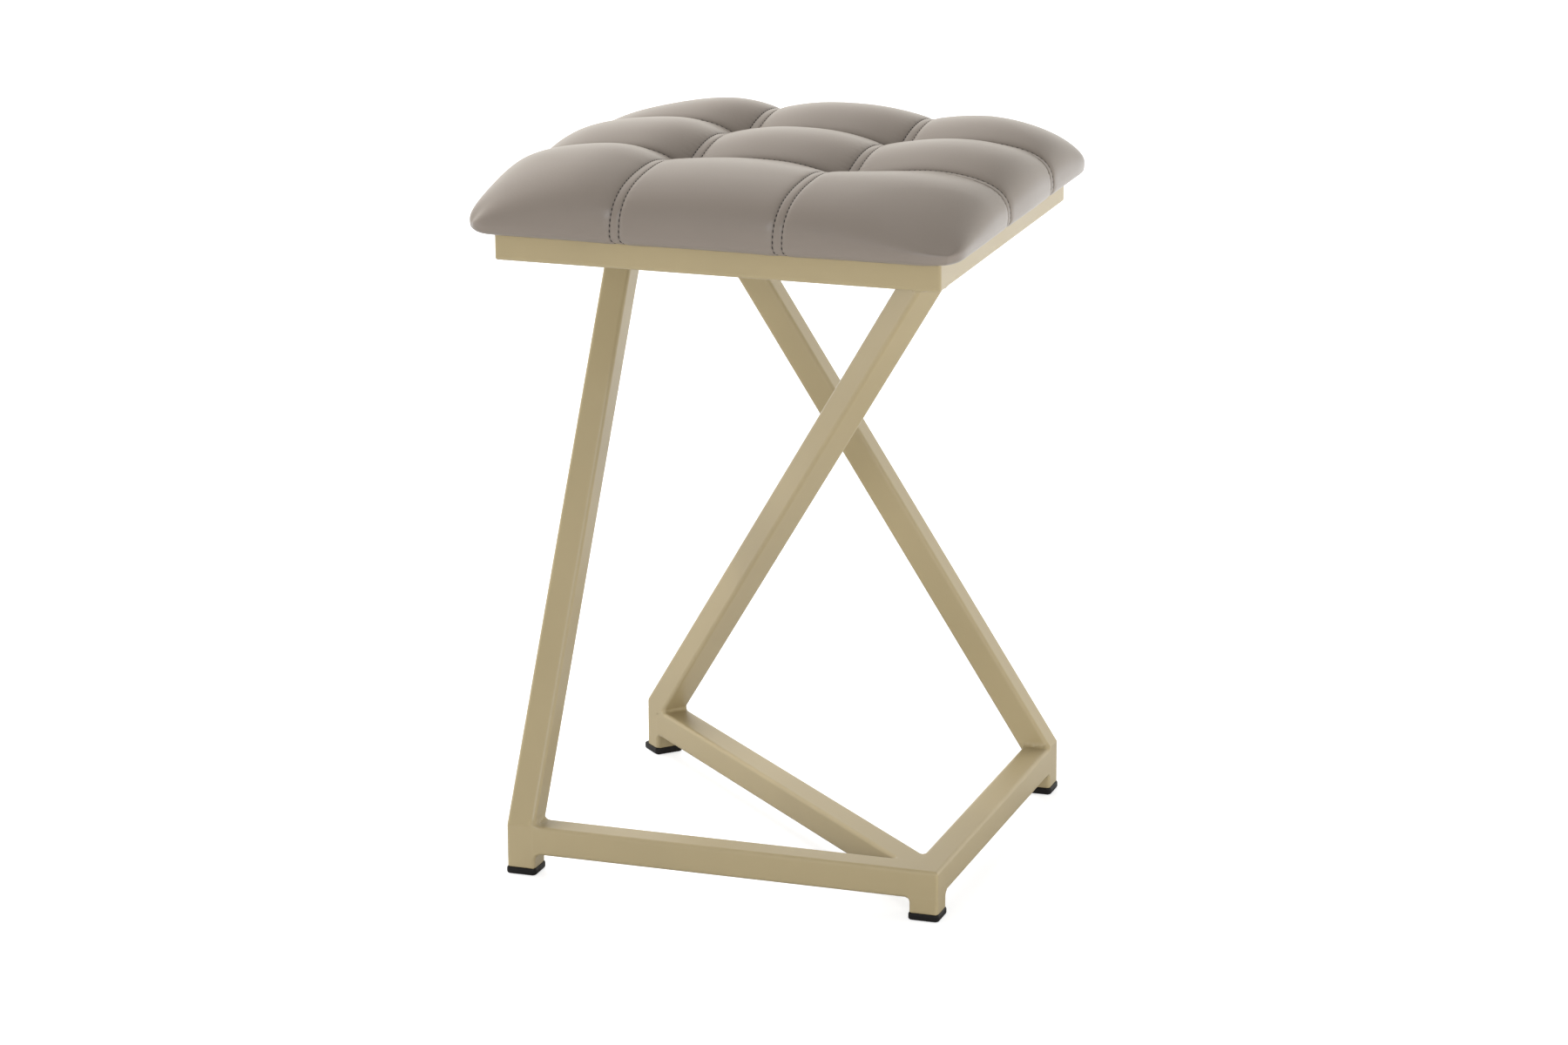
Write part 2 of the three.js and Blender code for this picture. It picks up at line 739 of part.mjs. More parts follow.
const hollow = (inset, radius, bottom, top) => solid(roundedBlock([
  [bottom, inset, radius],
  [top, inset, radius],
]));
const cover = solid(quiltedForm())
  .subtract(hollow(boardInset - softGap, boardCornerRadius + softGap, hemTop, foamUnderside))
  .subtract(hollow(foamInset - softGap, foamCornerRadius + softGap, boardUnderside, foamTop + softGap))
  .subtract(hollow(boardInset + coverHem, hemCornerRadius, coverUnderside - cutOverrun, boardUnderside));
add("seat_cover", geometryOf(cover), leather);

export default stool;
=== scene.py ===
"""X frame stool: a quilted square seat on a welded frame of square steel tube."""

import math

import bmesh
import bpy
import numpy as np
from mathutils import Matrix, Vector


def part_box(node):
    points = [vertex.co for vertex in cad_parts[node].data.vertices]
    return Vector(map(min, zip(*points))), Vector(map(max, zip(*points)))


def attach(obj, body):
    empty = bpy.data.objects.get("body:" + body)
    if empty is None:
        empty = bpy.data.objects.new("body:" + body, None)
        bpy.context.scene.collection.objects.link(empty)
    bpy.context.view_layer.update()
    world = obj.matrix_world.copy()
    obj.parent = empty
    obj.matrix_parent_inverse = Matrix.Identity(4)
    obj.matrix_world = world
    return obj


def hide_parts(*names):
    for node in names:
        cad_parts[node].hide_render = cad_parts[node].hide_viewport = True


bl_info = {
    "name": "X frame stool",
    "version": (1, 0, 0),
    "blender": (4, 5, 0),
    "location": "3D View > Sidebar > Stool",
    "description": "Builds the looks of a quilted stool on a welded tube frame round its CAD model",
    "category": "Add Mesh",
}

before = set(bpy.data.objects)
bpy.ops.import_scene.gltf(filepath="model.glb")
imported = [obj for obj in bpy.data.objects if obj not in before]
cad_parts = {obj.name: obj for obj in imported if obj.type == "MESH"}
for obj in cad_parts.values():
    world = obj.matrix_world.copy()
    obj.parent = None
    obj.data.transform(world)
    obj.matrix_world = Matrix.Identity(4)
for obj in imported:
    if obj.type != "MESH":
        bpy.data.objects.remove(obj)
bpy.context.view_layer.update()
MM = 0.001
UP = np.array([0.0, 0.0, 1.0])


# Places read from the CAD model

def middle(node):
    low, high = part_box(node)
    return (np.array(low) + np.array(high)) / 2


FRAME_LOW = np.array(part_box("seat_rail_front")[0])
FRAME_HIGH = np.array(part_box("seat_rail_back")[1])
HALF_WIDTH = float(FRAME_HIGH[0])
HALF_DEPTH = float(FRAME_HIGH[1])
SEAT_RAIL_BOTTOM = float(FRAME_LOW[2])
SEAT_RAIL_TOP = float(FRAME_HIGH[2])
TUBE = SEAT_RAIL_TOP - SEAT_RAIL_BOTTOM
HALF_TUBE = TUBE / 2
BASE_BOTTOM = float(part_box("base_rail_front")[0][2])
BASE_TOP = BASE_BOTTOM + TUBE
GLIDE_TOP = float(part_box("foot_front_left")[0][2])
COVER_LOW = float(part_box("seat_cover")[0][2])
BOARD_HIGH = float(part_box("seat_board")[1][2])
BOARD_HALF = np.array(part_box("seat_board")[1])
FOAM_HALF = np.array(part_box("foam_pad")[1])
POSTS = {
    place: middle("glide_" + place) * [1, 1, 0]
    for place in ("front_left", "front_right", "back_left", "back_right")
}


# Sizes and colours that a user would change

class SteelSettings(bpy.types.PropertyGroup):
    """Sizes and finish of the welded tube frame"""

    corner_radius: bpy.props.FloatProperty(
        name="Tube corner radius", description="Outer radius of the square tube's corners",
        default=2.5 * MM, unit="LENGTH")
    ground_radius: bpy.props.FloatProperty(
        name="Ground corner radius", description="Radius left by the grinder on the mitred corners",
        default=1.8 * MM, unit="LENGTH")
    weld_size: bpy.props.FloatProperty(
        name="Weld size", description="How far a weld fillet reaches along each tube",
        default=4.2 * MM, unit="LENGTH")
    weld_lumps: bpy.props.FloatProperty(
        name="Weld lumps", description="Height of the uneven beads on the welds",
        default=0.35 * MM, unit="LENGTH")
    skin_step: bpy.props.FloatProperty(
        name="Skin step", description="Mesh size across a tube and round its joints",
        default=0.7 * MM, unit="LENGTH")
    paint_color: bpy.props.FloatVectorProperty(
        name="Powder coat", description="Colour of the powder coat",
        default=(0.377, 0.304, 0.168), subtype="COLOR", min=0, max=1)


class SeatSettings(bpy.types.PropertyGroup):
    """Sizes and finish of the quilted seat"""

    overhang: bpy.props.FloatProperty(
        name="Overhang", description="How far a full pad stands out past the frame's sides",
        default=15.5 * MM, unit="LENGTH")
    overhang_front: bpy.props.FloatProperty(
        name="Overhang, front and back", description="How far a full pad stands out past the front and back",
        default=19 * MM, unit="LENGTH")
    corner_radius: bpy.props.FloatProperty(
        name="Corner radius", description="Radius of the seat's corners seen from above",
        default=24 * MM, unit="LENGTH")
    side_depth: bpy.props.FloatProperty(
        name="Side draw", description="How far a seam draws the side in",
        default=2 * MM, unit="LENGTH")
    widest_height: bpy.props.FloatProperty(
        name="Widest height", description="Height of the widest line over the cover's underside",
        default=7.6 * MM, unit="LENGTH")
    valley_height: bpy.props.FloatProperty(
        name="Valley height", description="Height of the seams' crossings over the frame",
        default=23.7 * MM, unit="LENGTH")
    tilt: bpy.props.FloatProperty(
        name="Tilt", description="Fall of the filling from the left side to the right side",
        default=3.4 * MM, unit="LENGTH")
    lean: bpy.props.FloatProperty(
        name="Lean", description="How far the seams lean to the right on their way back",
        default=7.6 * MM, unit="LENGTH")
    strip_width: bpy.props.FloatProperty(
        name="Stitch gauge", description="Distance between the two rows of a seam",
        default=6.5 * MM, unit="LENGTH")
    stitch_pitch: bpy.props.FloatProperty(
        name="Stitch pitch", description="Distance from stitch to stitch",
        default=3.6 * MM, unit="LENGTH")
    stitch_length: bpy.props.FloatProperty(
        name="Stitch length", description="Length of the thread that shows in a stitch",
        default=2.4 * MM, unit="LENGTH")
    thread_thickness: bpy.props.FloatProperty(
        name="Thread thickness", description="Thickness of the sewing thread",
        default=0.8 * MM, unit="LENGTH")
    pressure: bpy.props.FloatProperty(
        name="Filling pressure", description="Pressure that plumps the pads in the cloth simulation",
        default=4.0, min=0)
    leather_color: bpy.props.FloatVectorProperty(
        name="Leather", description="Colour of the cover",
        default=(0.236, 0.202, 0.172), subtype="COLOR", min=0, max=1)
    # Partly painted shade: the thread's colour is set near black so it also carries the shade of its needle
    # holes
    thread_and_shade_color: bpy.props.FloatVectorProperty(
        name="Thread", description="Colour of the sewing thread",
        default=(0.03, 0.026, 0.023), subtype="COLOR", min=0, max=1)


class StageSettings(bpy.types.PropertyGroup):
    """Floor, light and camera"""

    focal_length: bpy.props.FloatProperty(
        name="Focal length", description="Camera's focal length", default=111.58, unit="CAMERA")
    yaw: bpy.props.FloatProperty(
        name="Yaw", description="Camera's turn to the left of the view along +Y",
        default=0.3310103986928088, subtype="ANGLE")
    pitch: bpy.props.FloatProperty(
        name="Pitch", description="Camera's tilt below the horizon",
        default=0.27928098967303905, subtype="ANGLE")
    roll: bpy.props.FloatProperty(
        name="Roll", description="Camera's turn about its own line of sight",
        default=-0.0039928972036802676, subtype="ANGLE")
    place: bpy.props.FloatVectorProperty(
        name="Camera place", description="Where the camera stands",
        default=(1.0372738846921468, -3.0264430956452015, 1.139635171804096), subtype="TRANSLATION")
    floor_color: bpy.props.FloatVectorProperty(
        name="Floor", description="Colour of the floor",
        default=(0.55, 0.55, 0.55), subtype="COLOR", min=0, max=1)


# Mesh helpers

def new_object(name, vertices, faces, material=None, smooth=True):
    mesh = bpy.data.meshes.new(name)
    mesh.from_pydata([tuple(v) for v in vertices], [], [tuple(int(i) for i in f) for f in faces])
    mesh.update()
    mesh.polygons.foreach_set("use_smooth", [smooth] * len(mesh.polygons))
    made = bpy.data.objects.new(name, mesh)
    bpy.context.scene.collection.objects.link(made)
    if material:
        mesh.materials.append(material)
    return made


def finish_piece(piece, *nodes, slot):
    """Puts a made piece in the place of its CAD nodes."""
    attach(piece, "root")
    if nodes:
        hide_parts(*nodes)
    return piece


def point_values(mesh, name, values):
    layer = mesh.attributes.new(name, "FLOAT", "POINT")
    layer.data.foreach_set("value", np.asarray(values, np.float32))


def values_of(rows, name, width):
    values = np.zeros(len(rows) * width, np.float32)
    rows.foreach_get(name, values)
    return values.reshape(-1, width).astype(float)


def points_of(mesh):
    return values_of(mesh.vertices, "co", 3)


def normals_of(mesh):
    return values_of(mesh.vertex_normals, "vector", 3)


def point_layer(mesh, name):
    return values_of(mesh.attributes[name].data, "value", 1)[:, 0]


def move_points(mesh, points):
    mesh.vertices.foreach_set("co", points.astype(np.float32).ravel())
    mesh.update()


def surface_of(field, xs, ys, zs, origin, axes):
    """Closed quad mesh on the zero level of a distance field, sampled on an uneven grid in a turned frame."""
    counts = [len(xs) - 1, len(ys) - 1, len(zs) - 1]
    grid = np.stack(np.meshgrid(xs, ys, zs, indexing="ij"), -1)
    shape = grid.shape[:3]
    values = field(origin + grid.reshape(-1, 3) @ axes).reshape(shape)
    inside = values < 0
    total = np.zeros((*counts, 3))
    number = np.zeros(counts)
    crossings = []
    for axis in range(3):
        first = [slice(None)] * 3
        second = [slice(None)] * 3
        first[axis] = slice(0, -1)
        second[axis] = slice(1, None)
        first, second = tuple(first), tuple(second)
        crossed = inside[first] != inside[second]
        span = values[first] - values[second]
        share = np.where(crossed, values[first] / np.where(span == 0, 1, span), 0)[..., None]
        place = (grid[first] * (1 - share) + grid[second] * share) * crossed[..., None]
        others = [a for a in range(3) if a != axis]
        for da in (0, 1):
            for db in (0, 1):
                part = [slice(None)] * 3
                part[others[0]] = slice(da, da + counts[others[0]])
                part[others[1]] = slice(db, db + counts[others[1]])
                total += place[tuple(part)]
                number += crossed[tuple(part)]
        crossings.append((axis, others, crossed, inside[first]))
    filled = number > 0
    index = np.full(counts, -1)
    index[filled] = np.arange(int(filled.sum()))
    local = total[filled] / number[filled][:, None]
    faces = []
    for axis, others, crossed, starts_inside in crossings:
        inner = [slice(None)] * 3
        for other in others:
            inner[other] = slice(1, -1)
        where = np.argwhere(crossed[tuple(inner)])
        if not len(where):
            continue
        for other in others:
            where[:, other] += 1
        # the four cells round an edge, anticlockwise seen from the edge's far end
        turn = [(-1, -1), (0, -1), (0, 0), (-1, 0)]
        second, third = (axis + 1) % 3, (axis + 2) % 3
        corners = []
        for a, b in turn:
            cell = where.copy()
            cell[:, second] += a
            cell[:, third] += b
            corners.append(index[cell[:, 0], cell[:, 1], cell[:, 2]])
        quads = np.stack(corners, 1)
        outward = starts_inside[where[:, 0], where[:, 1], where[:, 2]]
        quads[~outward] = quads[~outward][:, ::-1]
        faces.append(quads)
    points = origin + local @ axes
    return points, np.concatenate(faces)


def settle(field, points, reach, rounds=3):
    """Moves points onto the field's zero level, none further than the reach."""
    start = points.copy()
    tiny = 0.02 * MM
    normal = np.zeros_like(points)
    for _ in range(rounds):
        value = field(points)
        for axis in range(3):
            step = np.zeros(3)
            step[axis] = tiny
            normal[:, axis] = (field(points + step) - field(points - step)) / (2 * tiny)
        size = np.maximum((normal ** 2).sum(1), 0.1)
        points = points - normal * (value / size)[:, None]
        moved = points - start
        far = np.linalg.norm(moved, axis=1)
        points = start + moved * np.minimum(1, reach / np.maximum(far, 1e-12))[:, None]
    return points


# Welded frame: every tube is a distance field, and welds blend neighbouring tubes

def plane(normal, point):
    normal = np.asarray(normal, float)
    return normal / np.linalg.norm(normal), np.asarray(point, float)


def beyond(points, cut):
    normal, point = cut
    return (points - point) @ normal


def rounded_square(u, v, half_u, half_v, radius):
    du = np.abs(u) - (half_u - radius)
    dv = np.abs(v) - (half_v - radius)
    outside = np.hypot(np.maximum(du, 0), np.maximum(dv, 0))
    return outside + np.minimum(np.maximum(du, dv), 0) - radius


def tube_distance(points, tube, radius):
    rel = points - tube["through"]
    distance = rounded_square(rel @ tube["across"], rel @ tube["third"], HALF_TUBE, HALF_TUBE, radius)
    for cut in tube["cuts"]:
        distance = np.maximum(distance, beyond(points, cut))
    return distance


def leg_axis(node):
    """A point on a leg's axis and its direction, from the rings of points at its two ends."""
    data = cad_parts[node].data
    points = np.array([v.co for v in data.vertices], float)
    low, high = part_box(node)
    centre = (np.array(low) + np.array(high)) / 2
    upper = points[points[:, 2] > centre[2]]
    lower = points[points[:, 2] <= centre[2]]
    ends = [np.unique(np.round(part, 6), axis=0).mean(0) for part in (lower, upper)]
    return ends[1], (ends[1] - ends[0]) / np.linalg.norm(ends[1] - ends[0])


def frame_tubes():
    """Each tube's axis, sides and end planes, by node name, and the diagonal's side direction."""
    east, north = np.array([1.0, 0, 0]), np.array([0, 1.0, 0])
    tubes = {}

    def tube(name, through, along, across, cuts):
        along = along / np.linalg.norm(along)
        third = np.cross(along, across)
        tubes[name] = {
            "through": np.asarray(through, float), "along": along, "across": across,
            "third": third, "cuts": cuts,
        }

    high = SEAT_RAIL_BOTTOM + HALF_TUBE
    low = BASE_BOTTOM + HALF_TUBE
    post_x, post_y = HALF_WIDTH - HALF_TUBE, HALF_DEPTH - HALF_TUBE
    for name, side in (("seat_rail_front", -1), ("seat_rail_back", 1)):
        cuts = [plane((sx, -side, 0), (sx * HALF_WIDTH, side * HALF_DEPTH, 0)) for sx in (-1, 1)]
        tube(name, (0, side * post_y, high), east, north, cuts)
    for name, side in (("seat_rail_left", -1), ("seat_rail_right", 1)):
        cuts = [plane((-side, sy, 0), (side * HALF_WIDTH, sy * HALF_DEPTH, 0)) for sy in (-1, 1)]
        tube(name, (side * post_x, 0, high), north, east, cuts)
    corner = (HALF_WIDTH, -HALF_DEPTH, 0)
    tube("base_rail_front", (0, -post_y, low), east, north,
         [plane((-1, 0, 0), (-HALF_WIDTH + TUBE, 0, 0)), plane((1, 1, 0), corner)])
    tube("base_rail_right", (post_x, 0, low), north, east,
         [plane((0, 1, 0), (0, HALF_DEPTH - TUBE, 0)), plane((-1, -1, 0), corner)])
    lean = POSTS["front_right"] - POSTS["back_left"]
    lean = lean / np.linalg.norm(lean)
    bends = (
        ("foot_front_left", "leg_left", "front_left", north),
        ("foot_back_right", "leg_back", "back_right", -east),
        ("foot_back_left", "leg_diagonal", "back_left", lean),
    )
    for foot, leg, place, leaning in bends:
        across = np.cross(leaning, UP)
        top, along = leg_axis(leg)
        mitre = (along + UP) / np.linalg.norm(along + UP)
        # where the leg's axis crosses the foot's
        rise = (top - POSTS[place]) @ leaning / (along @ leaning)
        bend = top - along * rise
        tube(foot, POSTS[place], UP, across, [plane(-UP, (0, 0, GLIDE_TOP)), (mitre, bend)])
        tube(leg, top, along, across, [(-mitre, bend), plane(UP, (0, 0, SEAT_RAIL_BOTTOM))])
    side = np.cross(lean, UP)
    start = POSTS["back_left"] + lean * HALF_TUBE
    tube("base_rail_diagonal", POSTS["back_left"] + UP * low, lean, side, [
        (-lean, start),
        plane((0, -1, 0), (0, -HALF_DEPTH + TUBE, 0)),
        plane((1, 0, 0), (HALF_WIDTH - TUBE, 0, 0)),
    ])
    tube("foot_front_right", POSTS["front_right"], UP, east,
         [plane(-UP, (0, 0, GLIDE_TOP)), plane(UP, (0, 0, BASE_BOTTOM))])
    return tubes, side


# How steeply a tube's skin dives under its neighbour's past their joint, and how far it runs on there
SKIN_DIVE = 0.06
SKIN_LAP = 1.6 * MM

# Steps along a tube: fine within this reach of another tube or an end, and long elsewhere
BUSY_REACH = 7 * MM
SCAN_STEP = 2 * MM
SCAN_HALF_LENGTH = 0.62
LONG_STEP = 10 * MM
LOOK_BACK = 3 * MM
LOOK_AHEAD = 14 * MM


def weld_lumps(points):
    """Uneven ripple, the same on every run."""
    waves = ((1.9, 0.4, 0.7), (-0.6, 2.1, 0.5), (0.3, -0.8, 1.8), (1.2, 1.1, -1.4))
    total = 0
    for i, wave in enumerate(waves):
        total = total + np.sin(points @ (np.array(wave) / MM) + 1.7 * i)
    return total / len(waves)


def frame_field(settings):
    """The welded frame's distance field, and the same cut down to one tube's own share of the skin."""
    tubes, side = frame_tubes()
    names = list(tubes)
    inner_x, inner_y = HALF_WIDTH - TUBE, HALF_DEPTH - TUBE
    axis = POSTS["back_left"]
    welds = [
        (("foot_front_left", "leg_left"), ("base_rail_front",), 1.35,
         [plane((0, 1, 0), (0, -inner_y, 0))]),
        (("foot_back_right", "leg_back"), ("base_rail_right",), 1.0,
         [plane((-1, 0, 0), (inner_x, 0, 0))]),
        (("foot_back_left", "leg_diagonal"), ("base_rail_diagonal",), 1.1,
         [(side, axis + side * HALF_TUBE), (-side, axis - side * HALF_TUBE)]),
        (("base_rail_front", "base_rail_right"), ("base_rail_diagonal",), 0.9,
         [plane(UP, (0, 0, BASE_TOP)), plane(-UP, (0, 0, BASE_BOTTOM))]),
        (("base_rail_front", "base_rail_right", "base_rail_diagonal"), ("foot_front_right",), 0.9, []),
        (("leg_left",), ("seat_rail_left",), 0.7, [plane((1, 0, 0), (-inner_x, 0, 0))]),
        (("leg_back",), ("seat_rail_back",), 0.7, [plane((0, -1, 0), (0, inner_y, 0))]),
        (("leg_diagonal",), ("seat_rail_front", "seat_rail_right"), 0.7, []),
    ]

    def parts(points):
        return {name: tube_distance(points, tubes[name], settings.corner_radius) for name in names}

    def whole(points, distance):
        skin = np.minimum.reduce(list(distance.values()))
        ripple = weld_lumps(points) * settings.weld_lumps
        for first, second, size, slabs in welds:
            a = np.minimum.reduce([distance[name] for name in first])
            b = np.minimum.reduce([distance[name] for name in second])
            reach = settings.weld_size * size
            overlap = np.maximum(reach - np.abs(a - b), 0) / reach
            weld = np.minimum(a, b) - overlap ** 2 * (reach / 4 + ripple)
            for slab in slabs:
                weld = np.maximum(weld, beyond(points, slab))
            skin = np.minimum(skin, weld)
        envelope = rounded_square(
            points[:, 0], points[:, 1], HALF_WIDTH, HALF_DEPTH, settings.ground_radius)
        return np.maximum(skin, envelope)

    def nearest_other(name, distance):
        return np.minimum.reduce([distance[n] for n in names if n != name])

    def share_of(name):
        def field(points):
            distance = parts(points)
            past = distance[name] - nearest_other(name, distance)
            dive = SKIN_DIVE * np.maximum(past, 0)
            return np.maximum(whole(points, distance) + dive, past - SKIN_LAP)
        return field

    def near_others(name, points):
        return nearest_other(name, parts(points))

    return tubes, share_of, near_others


def stations(tube, name, near_others, step):
    """Uneven steps along a tube: fine where another tube is close, long where it runs free."""
    coarse = np.arange(-SCAN_HALF_LENGTH, SCAN_HALF_LENGTH, SCAN_STEP)
    ring = [(u, v) for u in (-1, 0, 1) for v in (-1, 0, 1)]
    offsets = np.array([u * tube["across"] + v * tube["third"] for u, v in ring]) * (HALF_TUBE + MM)
    along = tube["through"] + coarse[:, None] * tube["along"]
    points = (along[:, None, :] + offsets[None]).reshape(-1, 3)
    past_end = np.max([beyond(points, cut) for cut in tube["cuts"]], axis=0)
    past_end = past_end.reshape(len(coarse), -1).min(1)
    other = near_others(name, points).reshape(len(coarse), -1).min(1)
    inside = past_end < BUSY_REACH
    busy = (other < BUSY_REACH) | (np.abs(past_end) < BUSY_REACH)
    coarse, busy = coarse[inside], busy[inside]
    places = [coarse[0] - SCAN_STEP]
    end = coarse[-1] + SCAN_STEP
    while places[-1] < end:
        here = places[-1]
        window = busy[(coarse > here - LOOK_BACK) & (coarse < here + LOOK_AHEAD)]
        places.append(here + (step if window.any() or not len(window) else LONG_STEP))
    return np.array(places)


class STOOL_OT_welded_frame(bpy.types.Operator):
    """Build the smooth skin of each frame tube, with its welds, over the CAD tubes"""

    bl_idname = "stool.welded_frame"
    bl_label = "Welded frame"

    def execute(self, context):
        settings = context.scene.stool_steel
        step = settings.skin_step
        paint = powder_coat(settings)
        tubes, share_of, near_others = frame_field(settings)
        across = np.arange(-HALF_TUBE - 8 * MM, HALF_TUBE + 8 * MM + step, step)
        for name, tube in tubes.items():
            axes = np.array([tube["across"], tube["third"], tube["along"]])
            field = share_of(name)
            along = stations(tube, name, near_others, step)
            points, faces = surface_of(field, across, across, along, tube["through"], axes)
            points = settle(field, points, 0.6 * step)
            skin = new_object("tube_" + name, points, faces, paint)
            # edge: 1 on a tube's rounded corners, where the powder coat paints a highlight
            rel = points - tube["through"]
            nearest = np.minimum(np.abs(rel @ tube["across"]), np.abs(rel @ tube["third"]))
            edge = np.clip((nearest - HALF_TUBE + 3.4 * MM) / (2.4 * MM), 0, 1)
            point_values(skin.data, "edge", edge)
            finish_piece(skin, name, slot="painted_steel")
        return {"FINISHED"}


# Quilted seat: a cage with its lines along the seams, plumped by a cloth simulation

# Seams' places, and how far out from its seam each outer pad is full: left and right, front and back
SEAMS_X = (-54.7 * MM, 56.3 * MM)
SEAMS_Y = (-37.4 * MM, 64.7 * MM)
OUTER_RISE = ((42.0 * MM, 72.0 * MM), (58.5 * MM, 58.5 * MM))

# How high each column of pads is filled from the left, each row from the front, and each pad past that
FILL_X = (14.7 * MM, 11.4 * MM, 13.7 * MM)
FILL_Y = (18.4 * MM, 14.2 * MM, 16.4 * MM)
PAD_FILL = np.array(((-4.6, -8.4, -11.2), (-4.6, -3.4, -4.6), (-4.4, -3.0, -3.4))) * MM

# Powers of the pads' crowns, the outline from above and the rim from the side, along X and along Y
CROWN_POWERS = (2.3, 2.0)
PLAN_POWERS = (6.9, 5.6)
RIM_POWERS = (2.65, 2.33)

# The left side slopes more gently than the right one, and stands a little further out
LEFT_POWER = 3.5
LEFT_OUT = 2.5 * MM

# How far each corner falls, by front and back, then left and right, and where its fold is smoothed
CORNER_DROP = np.array(((0.85, 0.94), (0.94, 0.7)))
CORNER_DROP_POWER = 3
CORNER_START = 0.45
CORNER_FADE = 0.25
CORNER_LOW_SHARE = 0.3
CORNER_LOW_FADE = 3 * MM
CORNER_ROUNDS = 40
DRAW_POWER = 6
LEAN_POWER = 8

# Lines across the seat: at what shares of the dome's height they follow the rim, and how many cells lie
# from there to a seam, across its strip and between the seams
SHOULDER_LEVELS = np.array([0, 0.14, 0.26, 0.37, 0.47, 0.56, 0.65, 0.73, 0.8, 0.86, 0.91])
OUTER_CELLS = 9
STRIP_CELLS = 2
INNER_CELLS = 20
EASED_SHARE = 0.7
EVEN_SHARE = 0.3

# Side tucked under to the hem: how far out each ring lies
TUCK_RINGS = (0.995, 0.97, 0.92, 0.83, 0.7, 0.54, 0.37, 0.18, 0)
TUCK_POWER = 3
TUCK_DROOP = 0.15
TUCK_DROOP_POWER = 3
HELD_BELOW = 0.5
BOTTOM_INSET = 1 * MM
RUN_STEP = 3 * MM

# Cloth that plumps the pads
CLOTH = {
    "vertex_group_mass": "held", "quality": 8, "mass": 0.3, "tension_stiffness": 25,
    "compression_stiffness": 25, "shear_stiffness": 10, "bending_stiffness": 1.5,
    "use_pressure": True, "pin_stiffness": 1,
}
CLOTH_FRAMES = 20
PLUMP_CAP = 5 * MM

# Seams' relief: two sunken stitch rows, a rounded strip between them, and shoulders and puckers beside them
ROW_DEPTH = 0.35 * MM
ROW_WIDTH = 0.6 * MM
# Width of the painted shade along each stitch row
SHADE_WIDTH = 0.55 * MM
STRIP_CROWN = 0.4 * MM
SHOULDER_HEIGHT = 1.1 * MM
SHOULDER_RISE = 2.5 * MM
SHOULDER_REACH = 14 * MM
PUCKER_HEIGHT = 0.09 * MM
PUCKER_START = 1.2 * MM
PUCKER_REACH = 3 * MM

# Each pair of seams: the mesh values that tell the place across them and the way along them
SEAM_LAYERS = (("plan_x", "run_y", SEAMS_X), ("plan_y", "run_x", SEAMS_Y))

# Stitches: how far they lift off the leather, and how each turns away from its row
THREAD_LIFT = 0.05 * MM
STITCH_SLANT = math.radians(9)

# Cover's underside
COVER_GAP = 0.3 * MM
COVER_WALL = 1.2 * MM
HEM_INSET = 27 * MM


def eased(start, end, cells, toward=""):
    """Places from start up to, but without, end, closer together at the sides named."""
    share = np.arange(cells) / cells
    if toward == "both":
        share = (1 - np.cos(np.pi * share)) / 2 * EASED_SHARE + share * EVEN_SHARE
    elif toward == "end":
        share = np.sin(np.pi / 2 * share) * EASED_SHARE + share * EVEN_SHARE
    return start + (end - start) * share


def seat_lines(rim, seams, strip, plan_power, rim_power):
    """The cage's lines across the seat: close together at the rim and along the seams."""
    shoulder = rim * (1 - SHOULDER_LEVELS ** rim_power) ** (1 / plan_power)
    first, second = seams

    def side(seam):
        return np.concatenate([
            -shoulder[:-1], eased(-shoulder[-1], seam - strip / 2, OUTER_CELLS, "end")])

    return np.concatenate([
        side(first),
        eased(first - strip / 2, first + strip / 2, STRIP_CELLS),
        eased(first + strip / 2, second - strip / 2, INNER_CELLS, "both"),
        [second - strip / 2, second, second + strip / 2],
        -side(-second)[::-1],
    ])


def fullness(place, seams, strip, outer, power):
    """How full the pads are across a row: 0 on a seam, 1 at a pad's middle and out to the side."""
    first, second = seams
    from_seam = np.minimum(np.abs(place - first), np.abs(place - second)) - strip / 2
    inner = (second - first - strip) / 2
    half = np.where(place < first, outer[0], np.where(place > second, outer[1], inner))
    return 1 - (1 - np.clip(from_seam / half, 0, 1)) ** power


